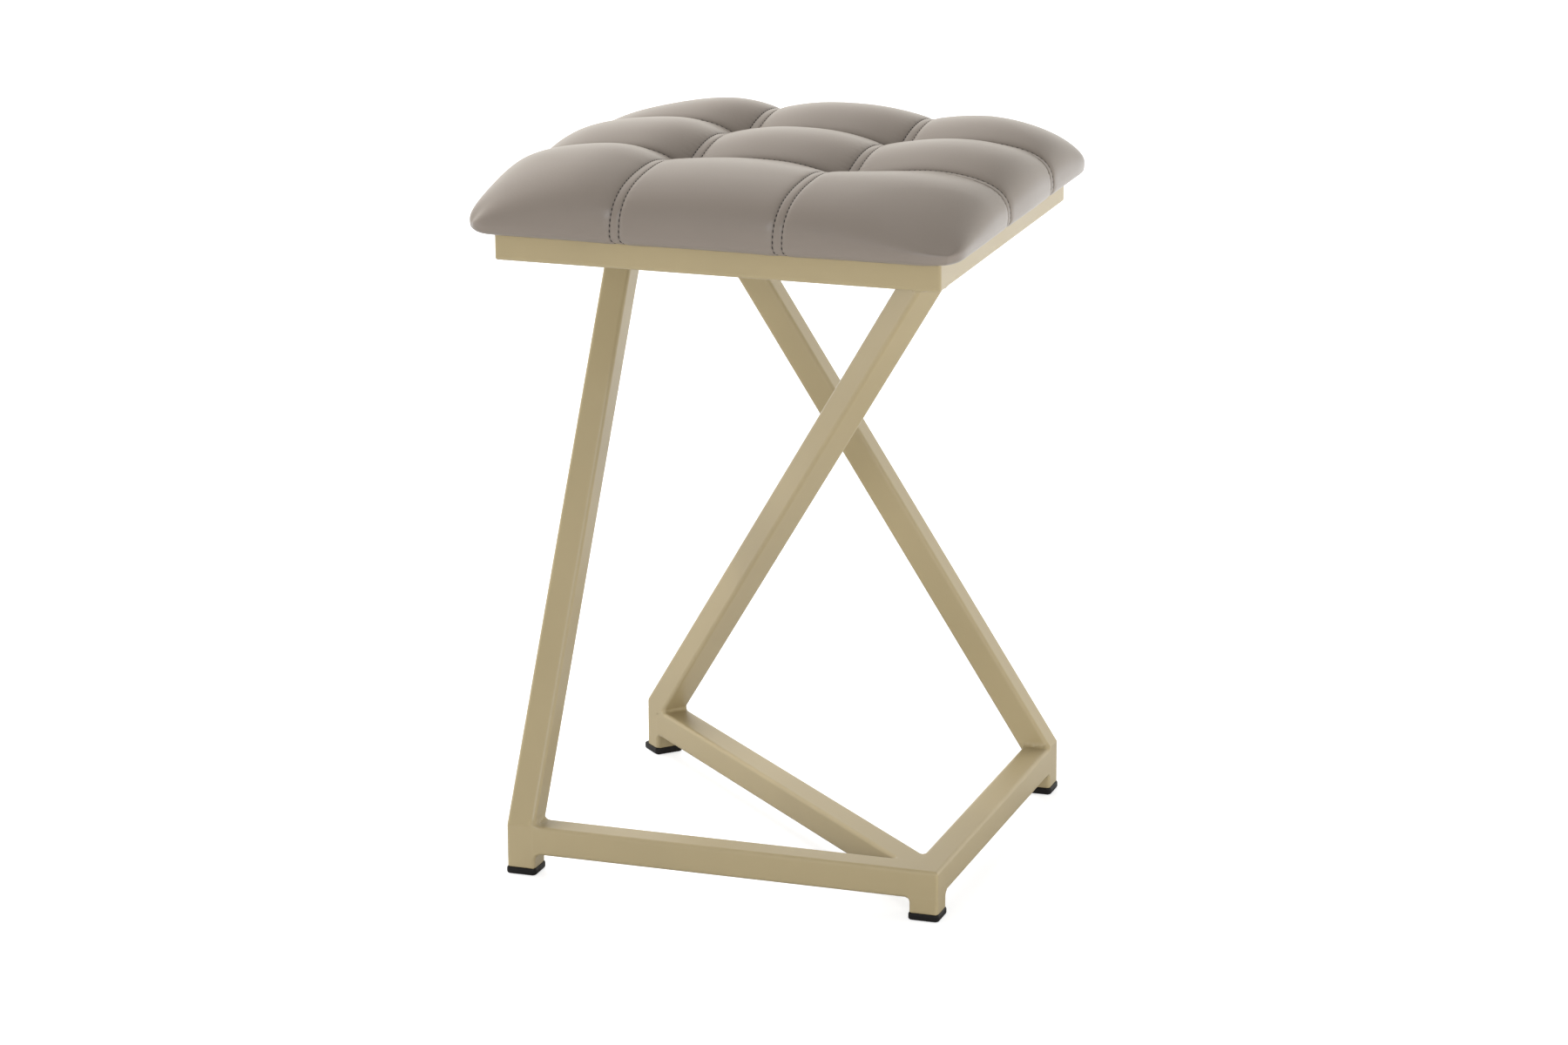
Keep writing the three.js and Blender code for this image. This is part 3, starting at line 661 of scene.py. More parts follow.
def seat_cage(settings):
    """Points, quads, plan coordinates, run coordinates and hold weights of the seat's outer skin."""
    strip = settings.strip_width
    overhangs = (settings.overhang, settings.overhang_front)
    rims = (HALF_WIDTH + overhangs[0], HALF_DEPTH + overhangs[1])
    seams = (SEAMS_X, SEAMS_Y)
    lines = [seat_lines(rims[a], seams[a], strip, PLAN_POWERS[a], RIM_POWERS[a]) for a in (0, 1)]
    xs, ys = lines
    widest = COVER_LOW + settings.widest_height
    rise = SEAT_RAIL_TOP + settings.valley_height - widest
    full_x, full_y = (fullness(lines[a], seams[a], strip, OUTER_RISE[a], CROWN_POWERS[a]) for a in (0, 1))
    plan_powers = (np.where(xs < 0, LEFT_POWER, PLAN_POWERS[0]), PLAN_POWERS[1])
    rim_powers = (np.where(xs < 0, LEFT_POWER, RIM_POWERS[0]), RIM_POWERS[1])
    levels = [
        (1 - np.abs(lines[a] / rims[a]) ** plan_powers[a]).clip(0) ** (1 / rim_powers[a]) for a in (0, 1)
    ]
    pad_x, pad_y = np.searchsorted(SEAMS_X, xs), np.searchsorted(SEAMS_Y, ys)
    fill_x, fill_y = np.array(FILL_X)[pad_x], np.array(FILL_Y)[pad_y]

    def height(column, row):
        filled = fill_x[column] * full_x[column] + fill_y[row] * full_y[row]
        filled += PAD_FILL[pad_y[row], pad_x[column]] * full_x[column] * full_y[row]
        filled -= settings.tilt * xs[column] / (2 * rims[0])
        far_out = abs(xs[column] / rims[0] * ys[row] / rims[1]) ** CORNER_DROP_POWER
        drop = CORNER_DROP[int(ys[row] > 0), int(xs[column] > 0)]
        return widest + levels[0][column] * levels[1][row] * (1 - drop * far_out) * (rise + filled)

    def leant(x, y):
        outer = (x / rims[0]) ** LEAN_POWER
        return settings.lean * y / rims[1] * (1 - outer) - LEFT_OUT * outer * (x < 0)

    def bend(x, y):
        """Bends the grid's corner squares into quarter discs, and says which way the edge faces."""
        cx = abs(x) - (rims[0] - settings.corner_radius)
        cy = abs(y) - (rims[1] - settings.corner_radius)
        sx, sy = math.copysign(1, x), math.copysign(1, y)
        if min(cx, cy) <= 0:
            return x, y, ((sx, 0) if abs(x) >= rims[0] - 1e-9 else (0, sy))
        reach = max(cx, cy)
        turn = math.pi / 4 * min(cx, cy) / reach
        angle = turn if cx >= cy else math.pi / 2 - turn
        ox, oy = sx * math.cos(angle), sy * math.sin(angle)
        return x + ox * reach - sx * cx, y + oy * reach - sy * cy, (ox, oy)

    columns, rows = len(xs), len(ys)
    points, plan, run, hold = [], [], [], []
    for row, y in enumerate(ys):
        for column, x in enumerate(xs):
            bx, by, _ = bend(x, y)
            draw_x = settings.side_depth * (1 - full_y[row]) * (x / rims[0]) ** DRAW_POWER
            draw_y = settings.side_depth * (1 - full_x[column]) * (y / rims[1]) ** DRAW_POWER
            points.append((
                bx - draw_x * math.copysign(1, x) + leant(x, y), by - draw_y * math.copysign(1, y),
                height(column, row)))
            plan.append((x, y))
            run.append((x, y))
            hold.append(1.0 if full_x[column] * full_y[row] <= 1e-6 else 0.0)
    faces = [
        (a, a + 1, a + columns + 1, a + columns)
        for row in range(rows - 1)
        for a in range(row * columns, row * columns + columns - 1)
    ]
    loop = [(c, 0) for c in range(columns)]
    loop += [(columns - 1, r) for r in range(1, rows)]
    loop += [(c, rows - 1) for c in range(columns - 2, -1, -1)]
    loop += [(0, r) for r in range(rows - 2, 0, -1)]
    above = [r * columns + c for c, r in loop]
    for ring, out in enumerate(TUCK_RINGS, 1):
        up = 1 - (1 + TUCK_DROOP) * (1 - out ** TUCK_POWER) ** (1 / TUCK_POWER)
        up += TUCK_DROOP * (1 - out) ** TUCK_DROOP_POWER
        below = []
        for c, r in loop:
            x, y = xs[c], ys[r]
            bx, by, facing = bend(x, y)
            full = full_x[c] * full_y[r]
            drawn = settings.side_depth * (1 - full)
            inward = [
                drawn + (overhang + BOTTOM_INSET - drawn) * (1 - out) for overhang in overhangs]
            below.append(len(points))
            points.append((bx - facing[0] * inward[0] + leant(x, y) * out, by - facing[1] * inward[1],
                           COVER_LOW + settings.widest_height * up))
            plan.append((x, y))
            on_x = abs(x) >= rims[0] - 1e-9
            on_y = abs(y) >= rims[1] - 1e-9
            run.append((
                x + math.copysign(ring * RUN_STEP, x) * on_x,
                y + math.copysign(ring * RUN_STEP, y) * on_y,
            ))
            hold.append(1.0 if full <= 1e-6 or out < HELD_BELOW else 0.0)
        for i, start in enumerate(above):
            j = (i + 1) % len(above)
            faces.append((start, below[i], below[j], above[j]))
        above = below
    return np.array(points), faces, np.array(plan), np.array(run), np.array(hold)


def plump(piece, hold, pressure):
    """Runs the cloth simulation on a piece, and gives its settled points, none moved past the cap."""
    scene = bpy.context.scene
    rest = points_of(piece.data)
    group = piece.vertex_groups.new(name="held")
    for weight in np.unique(hold):
        group.add([int(i) for i in np.flatnonzero(hold == weight)], float(weight), "REPLACE")
    cloth = piece.modifiers.new("plump", "CLOTH")
    for key, value in CLOTH.items():
        setattr(cloth.settings, key, value)
    cloth.settings.uniform_pressure_force = pressure
    cloth.settings.effector_weights.gravity = 0
    cloth.point_cache.frame_start = 1
    cloth.point_cache.frame_end = CLOTH_FRAMES
    for step in range(1, CLOTH_FRAMES + 1):
        scene.frame_set(step)
    evaluated = piece.evaluated_get(bpy.context.evaluated_depsgraph_get())
    settled = points_of(evaluated.data)
    piece.modifiers.remove(cloth)
    piece.vertex_groups.clear()
    scene.frame_set(1)
    moved = settled - rest
    far = np.linalg.norm(moved, axis=1, keepdims=True)
    return rest + moved * (np.tanh(far / PLUMP_CAP) * PLUMP_CAP / np.maximum(far, 1e-9))


def subdivide(piece, levels):
    """Turns a piece into a plain mesh of its subdivided surface."""
    smooth = piece.modifiers.new("smooth", "SUBSURF")
    smooth.levels = smooth.render_levels = levels
    smooth.boundary_smooth = "PRESERVE_CORNERS"
    graph = bpy.context.evaluated_depsgraph_get()
    made = bpy.data.meshes.new_from_object(
        piece.evaluated_get(graph), preserve_all_data_layers=True, depsgraph=graph)
    piece.modifiers.remove(smooth)
    piece.data = made


def smooth_corners(mesh, settings):
    """Rounds the fold that the grid leaves from each corner inwards."""
    reach = (HALF_WIDTH + settings.overhang, HALF_DEPTH + settings.overhang_front)
    out = np.abs(point_layer(mesh, "plan_x") / reach[0] * point_layer(mesh, "plan_y") / reach[1])
    points = points_of(mesh)
    ends = np.empty(2 * len(mesh.edges), np.int32)
    mesh.edges.foreach_get("vertices", ends)
    a, b = ends[::2], ends[1::2]
    count = np.bincount(ends, minlength=len(points))[:, None]
    low = COVER_LOW + CORNER_LOW_SHARE * settings.widest_height
    near_corner = np.clip((out - CORNER_START) / CORNER_FADE, 0, 1)
    over_hem = np.clip((points[:, 2] - low) / CORNER_LOW_FADE, 0, 1)
    share = (near_corner * over_hem)[:, None]
    for _ in range(CORNER_ROUNDS):
        total = np.zeros_like(points)
        np.add.at(total, a, points[b])
        np.add.at(total, b, points[a])
        points += share * (total / count - points)
    move_points(mesh, points)


def seam_relief(mesh, settings):
    """Sinks the stitch rows, rounds the strip between them, puckers the leather beside them and keeps a mask
    for the painted shade in the rows.
    """
    strip = settings.strip_width
    points, normals = points_of(mesh), normals_of(mesh)
    lift = np.zeros(len(points))
    near = np.zeros(len(points))
    for across, along, seams in SEAM_LAYERS:
        place, run = point_layer(mesh, across), point_layer(mesh, along)
        from_centre = np.minimum(np.abs(place - seams[0]), np.abs(place - seams[1]))
        from_row = np.abs(from_centre - strip / 2)
        beside = np.maximum(from_centre - strip / 2, 0)
        lift -= ROW_DEPTH * np.exp(-(from_row / ROW_WIDTH) ** 2)
        lift += STRIP_CROWN * np.clip(1 - (2 * from_centre / strip) ** 2, 0, 1)
        lift += SHOULDER_HEIGHT * (1 - np.exp(-beside / SHOULDER_RISE)) * np.exp(-beside / SHOULDER_REACH)
        waves = sum(
            np.sin(run / (length * MM) + shift * place)
            for length, shift in ((0.95, 0), (1.47, 900), (0.62, 0)))
        outside = np.clip(beside / PUCKER_START, 0, 1)
        lift += PUCKER_HEIGHT * waves * outside * np.exp(-from_row / PUCKER_REACH)
        # Mask for the painted shade along each stitch row, kept as the seam attribute
        near = np.maximum(near, np.exp(-(from_row / SHADE_WIDTH) ** 2))
    move_points(mesh, points + normals * lift[:, None])
    point_values(mesh, "seam", near)


def stitch_rows(mesh, settings):
    """Points and outward directions along each row of stitches, from hem to hem."""
    points, normals = points_of(mesh), normals_of(mesh)
    rows = []
    for across, along, seams in SEAM_LAYERS:
        place, run = point_layer(mesh, across), point_layer(mesh, along)
        for seam in seams:
            for side in (-1, 1):
                row = seam + side * settings.strip_width / 2
                on_row = np.flatnonzero(np.abs(place - row) < 0.02 * MM)
                order = on_row[np.argsort(run[on_row])]
                rows.append((points[order], normals[order]))
    return rows


def rectangle_ring(points, half_x, half_y, height):
    """Moves a ring's points straight towards or from the middle, onto a level rectangle."""
    scale = np.minimum(half_x / np.maximum(np.abs(points[:, 0]), 1e-9),
                       half_y / np.maximum(np.abs(points[:, 1]), 1e-9))
    ring = points * scale[:, None]
    ring[:, 2] = height
    return ring


def close_cover(piece):
    """Turns the open skin into a cover with a hem and hollows for the board and foam."""
    work = bmesh.new()
    work.from_mesh(piece.data)
    edge = next(e for e in work.edges if e.is_boundary)
    order = [corner.vert for corner in edge.link_faces[0].loops]
    ring = [edge.verts[0]]
    while True:
        vertex = edge.other_vert(ring[-1])
        if vertex is ring[0]:
            break
        ring.append(vertex)
        edge = next(e for e in vertex.link_edges if e.is_boundary and e is not edge)
    outer = np.array([v.co for v in ring])
    flipped = order[(order.index(ring[0]) + 1) % len(order)] is ring[1]
    hem = np.array((HALF_WIDTH, HALF_DEPTH)) - HEM_INSET
    board = BOARD_HALF[:2] + COVER_GAP
    foam = FOAM_HALF[:2] + COVER_GAP
    above = ring
    for half, height in (
        (hem, COVER_LOW), (hem, COVER_LOW + COVER_WALL),
        (board, COVER_LOW + COVER_WALL), (board, BOARD_HIGH + COVER_GAP),
        (foam, BOARD_HIGH + COVER_GAP), (foam, FOAM_HALF[2] + COVER_GAP),
    ):
        below = [work.verts.new(place) for place in rectangle_ring(outer, *half, height)]
        for i in range(len(ring)):
            j = (i + 1) % len(ring)
            quad = (above[i], below[i], below[j], above[j])
            work.faces.new(quad[::-1] if flipped else quad).smooth = True
        above = below
    work.faces.new(above[::-1] if flipped else above).smooth = False
    bmesh.ops.recalc_face_normals(work, faces=work.faces)
    work.to_mesh(piece.data)
    work.free()
    piece.data.update()


class STOOL_OT_quilted_seat(bpy.types.Operator):
    """Build the quilted leather cover, plump its nine pads and sink its seams"""

    bl_idname = "stool.quilted_seat"
    bl_label = "Quilted seat"

    def execute(self, context):
        settings = context.scene.stool_seat
        points, faces, plan, run, hold = seat_cage(settings)
        cover = new_object("quilted_cover", points, faces, leather(settings))
        move_points(cover.data, plump(cover, hold, settings.pressure))
        for name, values in (("plan", plan), ("run", run)):
            for i, axis in enumerate("xy"):
                point_values(cover.data, name + "_" + axis, values[:, i])
        subdivide(cover, 2)
        smooth_corners(cover.data, settings)
        seam_relief(cover.data, settings)
        rows = stitch_rows(cover.data, settings)
        close_cover(cover)
        finish_piece(cover, "seat_cover", slot="leather")
        sew(rows, settings)
        return {"FINISHED"}


# Node trees: helpers, and what repeats along a path

def with_sockets(tree, inputs, outputs):
    """Gives a tree its named inputs and outputs, and returns its group input and output nodes."""
    for label, kind, default in inputs:
        socket = tree.interface.new_socket(label, in_out="INPUT", socket_type="NodeSocket" + kind)
        if default is not None:
            socket.default_value = default
    for label, kind in outputs:
        tree.interface.new_socket(label, in_out="OUTPUT", socket_type="NodeSocket" + kind)
    return tree.nodes.new("NodeGroupInput"), tree.nodes.new("NodeGroupOutput")


def node(tree, kind, inputs=None, **settings):
    """Adds a node, with each input either linked from a socket or set to a value."""
    made = tree.nodes.new(kind)
    for key, value in settings.items():
        setattr(made, key, value)
    for key, value in (inputs or {}).items():
        if isinstance(value, bpy.types.NodeSocket):
            tree.links.new(value, made.inputs[key])
        else:
            made.inputs[key].default_value = value
    return made


def math_node(tree, operation, a, b=0.0, clamp=False):
    return node(tree, "ShaderNodeMath", {0: a, 1: b}, operation=operation, use_clamp=clamp).outputs[0]


def along_path_tree(name, inputs, make_shape):
    """A tree that sets a small shape at even steps along a path, upright on the path's own normal."""
    tree = bpy.data.node_groups.new(name, "GeometryNodeTree")
    tree.is_modifier = True
    given, result = with_sockets(tree, [
        ("Geometry", "Geometry", None), ("Pitch", "Float", 0.004), ("Slant", "Float", 0.0),
        ("Material", "Material", None), *inputs], [("Geometry", "Geometry")])
    curve = node(tree, "GeometryNodeMeshToCurve", {"Mesh": given.outputs["Geometry"]})
    spaced = node(tree, "GeometryNodeResampleCurve",
                  {"Curve": curve.outputs["Curve"], "Length": given.outputs["Pitch"]}, mode="LENGTH")
    tangent = node(tree, "GeometryNodeInputTangent")
    outward = node(tree, "GeometryNodeInputNamedAttribute", {"Name": "outward"}, data_type="FLOAT_VECTOR")
    along = node(tree, "FunctionNodeAlignRotationToVector",
                 {"Vector": tangent.outputs["Tangent"]}, axis="X")
    upright = node(tree, "FunctionNodeAlignRotationToVector",
                   {"Rotation": along.outputs["Rotation"], "Vector": outward.outputs["Attribute"]},
                   axis="Z", pivot_axis="X")
    slant = node(tree, "ShaderNodeCombineXYZ", {"Z": given.outputs["Slant"]})
    turn = node(tree, "FunctionNodeEulerToRotation", {"Euler": slant.outputs["Vector"]})
    turned = node(tree, "FunctionNodeRotateRotation",
                  {"Rotation": upright.outputs["Rotation"], "Rotate By": turn.outputs["Rotation"]},
                  rotation_space="LOCAL")
    shape = make_shape(tree, given.outputs["Length"], given.outputs["Thickness"])
    placed = node(tree, "GeometryNodeInstanceOnPoints", {
        "Points": spaced.outputs["Curve"], "Instance": shape, "Rotation": turned.outputs["Rotation"]})
    real = node(tree, "GeometryNodeRealizeInstances", {"Geometry": placed.outputs["Instances"]})
    finished = node(tree, "GeometryNodeSetMaterial",
                    {"Geometry": real.outputs["Geometry"], "Material": given.outputs["Material"]})
    tree.links.new(finished.outputs["Geometry"], result.inputs["Geometry"])
    return tree


def shape_corners(tree, *corners):
    """Vector sockets for a shape's corners, each given by its X and Z."""
    return [
        node(tree, "ShaderNodeCombineXYZ", {
            axis: value for axis, value in zip("XZ", corner) if value is not None}).outputs[0]
        for corner in corners
    ]


def stitch_shape(tree, length, thickness):
    """One stitch: a thread that arches out of one needle hole and into the next."""
    half, back = (math_node(tree, "MULTIPLY", length, share) for share in (0.5, -0.5))
    deep, high, radius = (math_node(tree, "MULTIPLY", thickness, share) for share in (-0.9, 1.5, 0.5))
    start, crest, end = shape_corners(tree, (back, deep), (None, high), (half, deep))
    arch = node(tree, "GeometryNodeCurveQuadraticBezier", {
        "Resolution": 5, "Start": start, "Middle": crest, "End": end})
    section = node(tree, "GeometryNodeCurvePrimitiveCircle",
                   {"Resolution": 6, "Radius": radius}, mode="RADIUS")
    return node(tree, "GeometryNodeCurveToMesh", {
        "Curve": arch.outputs["Curve"], "Profile Curve": section.outputs["Curve"],
        "Fill Caps": True}).outputs["Mesh"]


def staple_shape(tree, length, thickness):
    """One staple: a flat crown with its two legs going into the board."""
    half, back = (math_node(tree, "MULTIPLY", length, share) for share in (0.5, -0.5))
    deep, width = (math_node(tree, "MULTIPLY", thickness, share) for share in (-1.0, 1.6))
    corners = shape_corners(tree, (back, deep), (back, None), (half, None), (half, deep))
    section = node(tree, "GeometryNodeCurvePrimitiveQuadrilateral", {"Width": thickness, "Height": width})
    joined = node(tree, "GeometryNodeJoinGeometry")
    for start, end in zip(corners, corners[1:]):
        line = node(tree, "GeometryNodeCurvePrimitiveLine", {"Start": start, "End": end})
        wire = node(tree, "GeometryNodeCurveToMesh", {
            "Curve": line.outputs["Curve"], "Profile Curve": section.outputs["Curve"], "Fill Caps": True})
        tree.links.new(wire.outputs["Mesh"], joined.inputs["Geometry"])
    return joined.outputs["Geometry"]


def run_tree(name, tree, paths, values, slot):
    """Runs a tree over open paths of points with outward directions, and keeps one plain piece."""
    points, outward, edges = [], [], []
    for path, normals in paths:
        first = len(points)
        points.extend(path)
        outward.extend(normals)
        edges.extend((first + i, first + i + 1) for i in range(len(path) - 1))
    mesh = bpy.data.meshes.new(name)
    mesh.from_pydata([tuple(p) for p in points], edges, [])
    layer = mesh.attributes.new("outward", "FLOAT_VECTOR", "POINT")
    layer.data.foreach_set("vector", np.asarray(outward, np.float32).ravel())
    piece = bpy.data.objects.new(name, mesh)
    bpy.context.scene.collection.objects.link(piece)
    modifier = piece.modifiers.new(name, "NODES")
    modifier.node_group = tree
    for item in tree.interface.items_tree:
        if item.item_type == "SOCKET" and item.in_out == "INPUT" and item.name in values:
            modifier[item.identifier] = values[item.name]
    bpy.context.view_layer.update()
    graph = bpy.context.evaluated_depsgraph_get()
    piece.data = bpy.data.meshes.new_from_object(piece.evaluated_get(graph), depsgraph=graph)
    piece.modifiers.remove(modifier)
    piece.data.polygons.foreach_set("use_smooth", [True] * len(piece.data.polygons))
    return finish_piece(piece, slot=slot)


def sew(rows, settings):
    """Sews every seam with a row of stitches on each side."""
    tree = along_path_tree("Stitches", [
        ("Length", "Float", 0.003), ("Thickness", "Float", 0.0005)], stitch_shape)
    run_tree("seam_stitches", tree, [(points + normals * THREAD_LIFT, normals) for points, normals in rows], {
        "Pitch": settings.stitch_pitch, "Slant": STITCH_SLANT, "Material": thread(settings),
        "Length": settings.stitch_length, "Thickness": settings.thread_thickness,
    }, slot="leather")


# Materials

def shader_group(name, inputs, outputs, build):
    """A shader node group with named sockets, built once and kept for the materials that share it."""
    if name in bpy.data.node_groups:
        return bpy.data.node_groups[name]
    tree = bpy.data.node_groups.new(name, "ShaderNodeTree")
    given, result = with_sockets(tree, inputs, outputs)
    for label, socket in build(tree, given.outputs).items():
        tree.links.new(socket, result.inputs[label])
    return tree


def tint_group():
    """Slow change of a colour over a surface, as in any batch of paint or hide."""

    def build(tree, given):
        noise = node(tree, "ShaderNodeTexNoise",
                     {"Vector": given["Place"], "Scale": given["Scale"], "Detail": 3.0, "Roughness": 0.55})
        around = math_node(tree, "SUBTRACT", noise.outputs["Fac"], 0.5)
        amount = math_node(tree, "MULTIPLY", around, given["Amount"])
        value = math_node(tree, "ADD", amount, 1.0)
        shade = node(tree, "ShaderNodeHueSaturation", {"Color": given["Color"], "Value": value})
        return {"Color": shade.outputs["Color"], "Mask": noise.outputs["Fac"]}

    return shader_group(
        "Tint", [("Place", "Vector", None), ("Color", "Color", None), ("Scale", "Float", 20.0),
                 ("Amount", "Float", 0.2)],
        [("Color", "Color"), ("Mask", "Float")], build)


def grain_group():
    """Fine grain as a height: rounded cells broken up by noise."""

    def build(tree, given):
        warp = node(tree, "ShaderNodeTexNoise",
                    {"Vector": given["Place"], "Scale": given["Scale"], "Detail": 2.0})
        shift = node(tree, "ShaderNodeVectorMath", {0: warp.outputs["Color"], "Scale": given["Warp"]},
                     operation="SCALE")
        bent = node(tree, "ShaderNodeVectorMath", {0: given["Place"], 1: shift.outputs["Vector"]},
                    operation="ADD")
        cells = node(tree, "ShaderNodeTexVoronoi",
                     {"Vector": bent.outputs["Vector"], "Scale": given["Scale"]}, feature="SMOOTH_F1")
        round_cells = math_node(tree, "MULTIPLY", cells.outputs["Distance"], given["Cells"])
        fine = node(tree, "ShaderNodeTexNoise",
                    {"Vector": given["Place"], "Scale": given["Scale"], "Detail": 5.0, "Roughness": 0.6})
        rough = math_node(tree, "MULTIPLY", fine.outputs["Fac"], given["Noise"])
        return {"Height": math_node(tree, "ADD", rough, round_cells)}

    return shader_group(
        "Grain", [("Place", "Vector", None), ("Scale", "Float", 900.0), ("Warp", "Float", 0.0004),
                  ("Cells", "Float", 1.0), ("Noise", "Float", 0.5)],
        [("Height", "Float")], build)


def new_material(name, **constants):
    """A material with its surface shader and its object coordinates."""
    made = bpy.data.materials.new(name)
    made.use_nodes = True
    tree = made.node_tree
    shader = next(n for n in tree.nodes if n.type == "BSDF_PRINCIPLED")
    for label, value in constants.items():
        shader.inputs[label.replace("_", " ")].default_value = value
    place = node(tree, "ShaderNodeTexCoord").outputs["Object"]
    return made, tree, shader, place


def group_node(tree, group, inputs):
    return node(tree, "ShaderNodeGroup", inputs, node_tree=group)


def tinted(tree, place, color, scale, amount):
    """A colour that changes slowly over a surface, and the mask that it follows."""
    made = group_node(tree, tint_group(), {
        "Place": place, "Color": (*color, 1), "Scale": scale, "Amount": amount})
    return made.outputs["Color"], made.outputs["Mask"]


def grained(tree, place, **inputs):
    return group_node(tree, grain_group(), {"Place": place, **inputs}).outputs["Height"]


def mixed_color(tree, share, first, second):
    return node(tree, "ShaderNodeMix", {0: share, 6: first, 7: second}, data_type="RGBA").outputs[2]


def finish_surface(tree, shader, color, roughness, height, strength, distance):
    tree.links.new(color, shader.inputs["Base Color"])
    tree.links.new(roughness, shader.inputs["Roughness"])
    bump = node(tree, "ShaderNodeBump", {"Strength": strength, "Distance": distance, "Height": height})
    tree.links.new(bump.outputs["Normal"], shader.inputs["Normal"])


def spread(tree, mask, low, high):
    """Maps a mask from 0 to 1 onto a range."""
    ranged = node(tree, "ShaderNodeMapRange", {"Value": mask, "To Min": low, "To Max": high})
    return ranged.outputs["Result"]


def powder_coat(settings):
    """Satin powder coat with a faint orange peel, and a painted highlight that lightens it along the tube's
    edges.
    """
    made, tree, shader, place = new_material("powder_coat", Metallic=0.0, IOR=1.5, Specular_IOR_Level=0.72)
    color, mask = tinted(tree, place, settings.paint_color, 14.0, 0.12)
    edge = node(tree, "ShaderNodeAttribute", attribute_name="edge").outputs["Fac"]
    # Painted highlight: a paler copy of the paint, mixed in on the tube's rounded edges
    painted_edge_highlight = node(tree, "ShaderNodeHueSaturation", {"Color": color, "Saturation": 0.9, "Value": 1.15})
    mixed = mixed_color(tree, math_node(tree, "MULTIPLY", edge, 0.12), color, painted_edge_highlight.outputs["Color"])
    peel = grained(tree, place, Scale=650.0, Warp=0.0006, Cells=0.6, Noise=0.5)
    finish_surface(tree, shader, mixed, spread(tree, mask, 0.36, 0.46), peel, 0.25, 0.00008)
    return made


def leather(settings):
    """Satin synthetic leather with a fine grain, duller down in the stitch rows, where painted shade darkens
    it.
    """
    made, tree, shader, place = new_material("leather", IOR=1.5, Specular_IOR_Level=0.26)
    color, mask = tinted(tree, place, settings.leather_color, 9.0, 0.1)
    seam = node(tree, "ShaderNodeAttribute", attribute_name="seam").outputs["Fac"]
    # Painted shade: a darker copy of the colour, mixed in along the sunken stitch rows
    painted_row_shade = node(tree, "ShaderNodeHueSaturation", {"Color": color, "Value": 0.8})
    mixed = mixed_color(tree, seam, color, painted_row_shade.outputs["Color"])
    grain = grained(tree, place, Scale=1100.0, Warp=0.0005, Cells=1.0, Noise=0.7)
    roughness = math_node(tree, "ADD", spread(tree, mask, 0.29, 0.36),
                          math_node(tree, "MULTIPLY", seam, 0.15))
    finish_surface(tree, shader, mixed, roughness, grain, 0.3, 0.00012)
    return made


def thread(settings):
    """Twisted sewing thread, near black so that it also carries painted shade from its needle holes."""
    made, tree, shader, place = new_material("sewing_thread")
    color, mask = tinted(tree, place, settings.thread_and_shade_color, 400.0, 0.5)
    wave = node(tree, "ShaderNodeTexWave", {"Vector": place, "Scale": 900.0, "Distortion": 1.0},
                bands_direction="DIAGONAL")
    finish_surface(tree, shader, color, spread(tree, mask, 0.6, 0.8), wave.outputs["Fac"], 0.5, 0.00005)
    return made


def moulded_plastic():
    """Black moulded plastic, scuffed grey where it has slid on a floor."""
    made, tree, shader, place = new_material("moulded_plastic", IOR=1.46, Specular_IOR_Level=0.35)
    scuff = node(tree, "ShaderNodeTexNoise", {"Vector": place, "Scale": 160.0, "Detail": 6.0}).outputs["Fac"]
    height = node(tree, "ShaderNodeSeparateXYZ", {"Vector": place}).outputs["Z"]
    low = node(tree, "ShaderNodeMapRange", {
        "Value": height, "From Min": 0.0, "From Max": 0.0015, "To Min": 0.5, "To Max": 0.0}).outputs["Result"]
    scuffed = math_node(tree, "MULTIPLY", scuff, low, clamp=True)
    mixed = mixed_color(tree, scuffed, (0.009, 0.008, 0.008, 1), (0.06, 0.056, 0.053, 1))
    grain = grained(tree, place, Scale=1500.0, Cells=0.5, Noise=0.8)
    finish_surface(tree, shader, mixed, spread(tree, scuff, 0.42, 0.62), grain, 0.3, 0.00008)
    return made


def dust_cloth():
    """Black non-woven cloth with its point-bonded dimples."""
    made, tree, shader, place = new_material("dust_cloth")
    color, mask = tinted(tree, place, (0.022, 0.022, 0.023), 60.0, 0.6)
    dots = node(tree, "ShaderNodeTexVoronoi", {"Vector": place, "Scale": 620.0, "Randomness": 0.0})
    dimples = node(tree, "ShaderNodeMapRange", {
        "Value": dots.outputs["Distance"], "From Max": 0.35}).outputs["Result"]
    finish_surface(tree, shader, color, spread(tree, mask, 0.85, 0.98), dimples, 0.6, 0.0001)
    return made


def plywood():
    """Raw plywood: veneer grain on the faces, plies on the edges."""
    made, tree, shader, place = new_material("plywood_board")
    stretched = node(tree, "ShaderNodeMapping", {"Vector": place, "Scale": (8, 160, 900)}).outputs["Vector"]
    grain = node(tree, "ShaderNodeTexNoise", {
        "Vector": stretched, "Scale": 1.0, "Detail": 5.0}).outputs["Fac"]
    color = mixed_color(tree, grain, (0.36, 0.22, 0.1, 1), (0.6, 0.43, 0.24, 1))
    finish_surface(tree, shader, color, spread(tree, grain, 0.7, 0.85), grain, 0.3, 0.0002)
    return made


def seat_foam():
    """Open-cell foam."""
    made, tree, shader, place = new_material("seat_foam")
    color, mask = tinted(tree, place, (0.75, 0.68, 0.48), 30.0, 0.2)
    cells = node(tree, "ShaderNodeTexVoronoi", {"Vector": place, "Scale": 1400.0})
    finish_surface(tree, shader, color, spread(tree, mask, 0.9, 1.0), cells.outputs["Distance"], 0.8, 0.0005)
    return made


